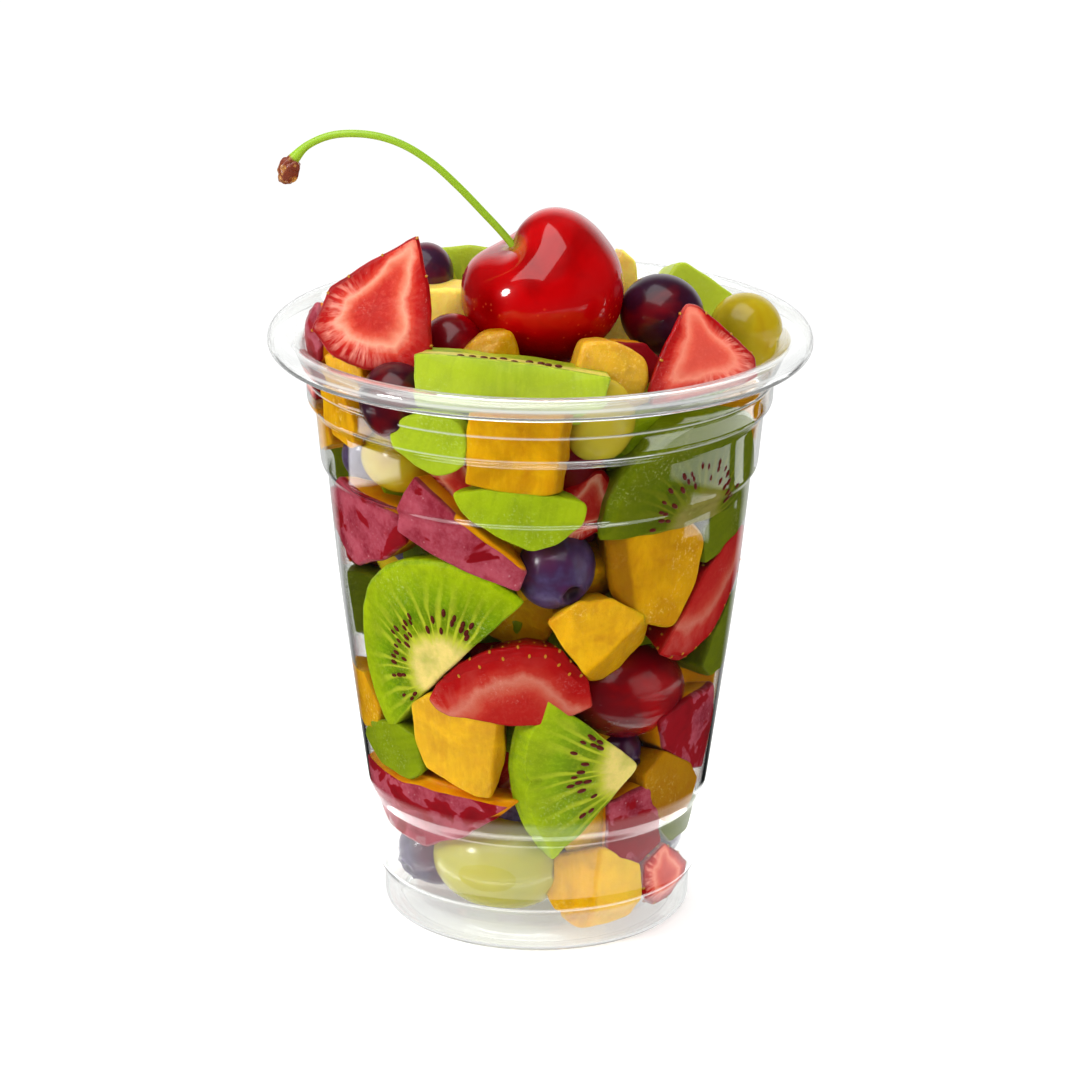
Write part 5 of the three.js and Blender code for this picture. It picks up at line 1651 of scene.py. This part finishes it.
class FRUITCUP_OT_stage(bpy.types.Operator):
    """Set the floor, the backdrop, the lamps and the camera"""
    bl_idname = "fruit_cup.stage"
    bl_label = "Set the stage"

    def lamp(self, name, at, size, power):
        """A square lamp turned to the cup, unseen by the camera itself."""
        data = bpy.data.lights.new(name, "AREA")
        data.shape = "RECTANGLE"
        data.size, data.size_y = size
        data.energy = power
        made = bpy.data.objects.new(name, data)
        made.location = at
        made.rotation_mode = "QUATERNION"
        made.rotation_quaternion = (Vector(at) - Vector(LAMPS_AIM)).to_track_quat("Z", "Y")
        made.visible_camera = False
        bpy.context.scene.collection.objects.link(made)
        return made

    def world(self, scene, strength):
        """A white backdrop, seen white directly or through the cup.

        Mirrored in a surface it is white only low behind the cup, and it lights the fruit from
        behind: the front is dark, as in a studio with flags beside the camera.
        """
        s = Shade("studio", "worlds")
        scene.world = s.material
        _, back, _ = s.split(s.node("TexCoord").outputs["Generated"])
        level = s.blend(s.mirrored(), 1.0, s.span(back, 0.6, 0.9, 0.02, 1.0))
        lighting = s.node("LightPath").outputs["Is Diffuse Ray"]
        level = s.blend(lighting, level, s.span(back, 0.1, 0.5, 0.06, 1.0))
        background = s.node("Background", {"Color": WHITE, "Strength": s.product(level, strength)})
        s.chain((background, s.node("OutputWorld"), 0))

    def floor(self):
        """A wide pale floor, which shines in the cup only close to its foot."""
        made = bpy.data.meshes.new("floor")
        reach = 4.0
        made.from_pydata([(-reach, -reach, 0), (reach, -reach, 0), (reach, reach, 0),
                          (-reach, reach, 0)], [], [(0, 1, 2, 3)])
        s = Shade("floor_paper")
        place = s.place(1.0)
        away = s.length(place)
        right, back, _ = s.split(place)
        rings = s.ramp(s.product(away, 10.0), *FLOOR_RINGS)
        behind = s.span(s.math("MULTIPLY_ADD", s.math("ABSOLUTE", right), -1.1, back), 0.0, 0.06)
        shine = s.math("MAXIMUM", s.product(rings, 5.0), s.product(behind, 0.7))
        for side, near, far, front, end, level in CARDS:
            card = s.product(s.between(away, near, far, 0.004), s.span(right, 0.0, 0.01 * side),
                             s.between(back, front, end, 0.006), level)
            shine = s.math("MAXIMUM", shine, card)
        paper = s.node("BsdfDiffuse", {"Color": (0.85, 0.85, 0.85)})
        glow = s.node("Emission", {"Strength": 0.3})
        near = s.node("AddShader")
        white = s.node("Emission", {"Strength": 1.05})
        seen = s.node("MixShader", {0: s.span(away, 0.12, 0.4)})
        mirrored = s.node("Emission", {"Strength": s.math("ADD", shine, 0.01)})
        mixed = s.node("MixShader", {0: s.mirrored()})
        output = s.node("OutputMaterial")
        s.chain((paper, near, 0), (glow, near, 1), (near, seen, 1), (white, seen, 2),
                (seen, mixed, 1), (mirrored, mixed, 2), (mixed, output, 0))
        made.materials.append(s.material)
        floor = bpy.data.objects.new("floor", made)
        bpy.context.scene.collection.objects.link(floor)

    def execute(self, context):
        scene = context.scene
        settings = scene.fruit_cup_stage
        self.world(scene, settings.backdrop)
        self.floor()
        for name, at, size, power, unseen in SOFTBOXES:
            setattr(self.lamp(name, at, size, getattr(settings, power)), unseen, False)
        spot = self.lamp("spot", SPOT_AT, (SPOT_SIZE, SPOT_SIZE), settings.spot)
        spot.data.shape = "DISK"
        scene.view_settings.view_transform = "Standard"
        data = bpy.data.cameras.new("camera")
        data.sensor_width = SENSOR
        data.lens = CAMERA_LENS
        data.shift_x = CAMERA_SHIFT
        data.clip_start, data.clip_end = 0.01, 20
        camera = bpy.data.objects.new("camera", data)
        scene.collection.objects.link(camera)
        turn = (Matrix.Rotation(np.pi / 2 - CAMERA_PITCH, 4, "X")
                @ Matrix.Rotation(CAMERA_ROLL, 4, "Z"))
        camera.matrix_world = Matrix.Translation(CAMERA_AT) @ turn
        scene.camera = camera
        return {"FINISHED"}


class FRUITCUP_PT_panel(bpy.types.Panel):
    """The fruit cup's settings and its steps"""
    bl_idname = "FRUITCUP_PT_panel"
    bl_label = "Fruit Cup"
    bl_space_type = "VIEW_3D"
    bl_region_type = "UI"
    bl_category = "Fruit Cup"

    def draw(self, context):
        layout = self.layout
        for name, group in GROUPS.items():
            box = layout.box()
            box.label(text=group.__doc__)
            for key in group.__annotations__:
                box.prop(getattr(context.scene, name), key)
        for operator in OPERATORS:
            layout.operator(operator.bl_idname)


OPERATORS = (FRUITCUP_OT_cup, FRUITCUP_OT_heap, FRUITCUP_OT_toppings, FRUITCUP_OT_cherry,
             FRUITCUP_OT_stage)
CLASSES = (*GROUPS.values(), *OPERATORS, FRUITCUP_PT_panel)


def register():
    for item in CLASSES:
        bpy.utils.register_class(item)
    for name, group in GROUPS.items():
        setattr(bpy.types.Scene, name, PointerProperty(type=group))


def unregister():
    for name in GROUPS:
        delattr(bpy.types.Scene, name)
    for item in reversed(CLASSES):
        bpy.utils.unregister_class(item)


def main():
    """Register the add-on and run its steps in order."""
    register()
    for operator in OPERATORS:
        area, name = operator.bl_idname.split(".")
        getattr(getattr(bpy.ops, area), name)()


if __name__ == "__main__":
    main()
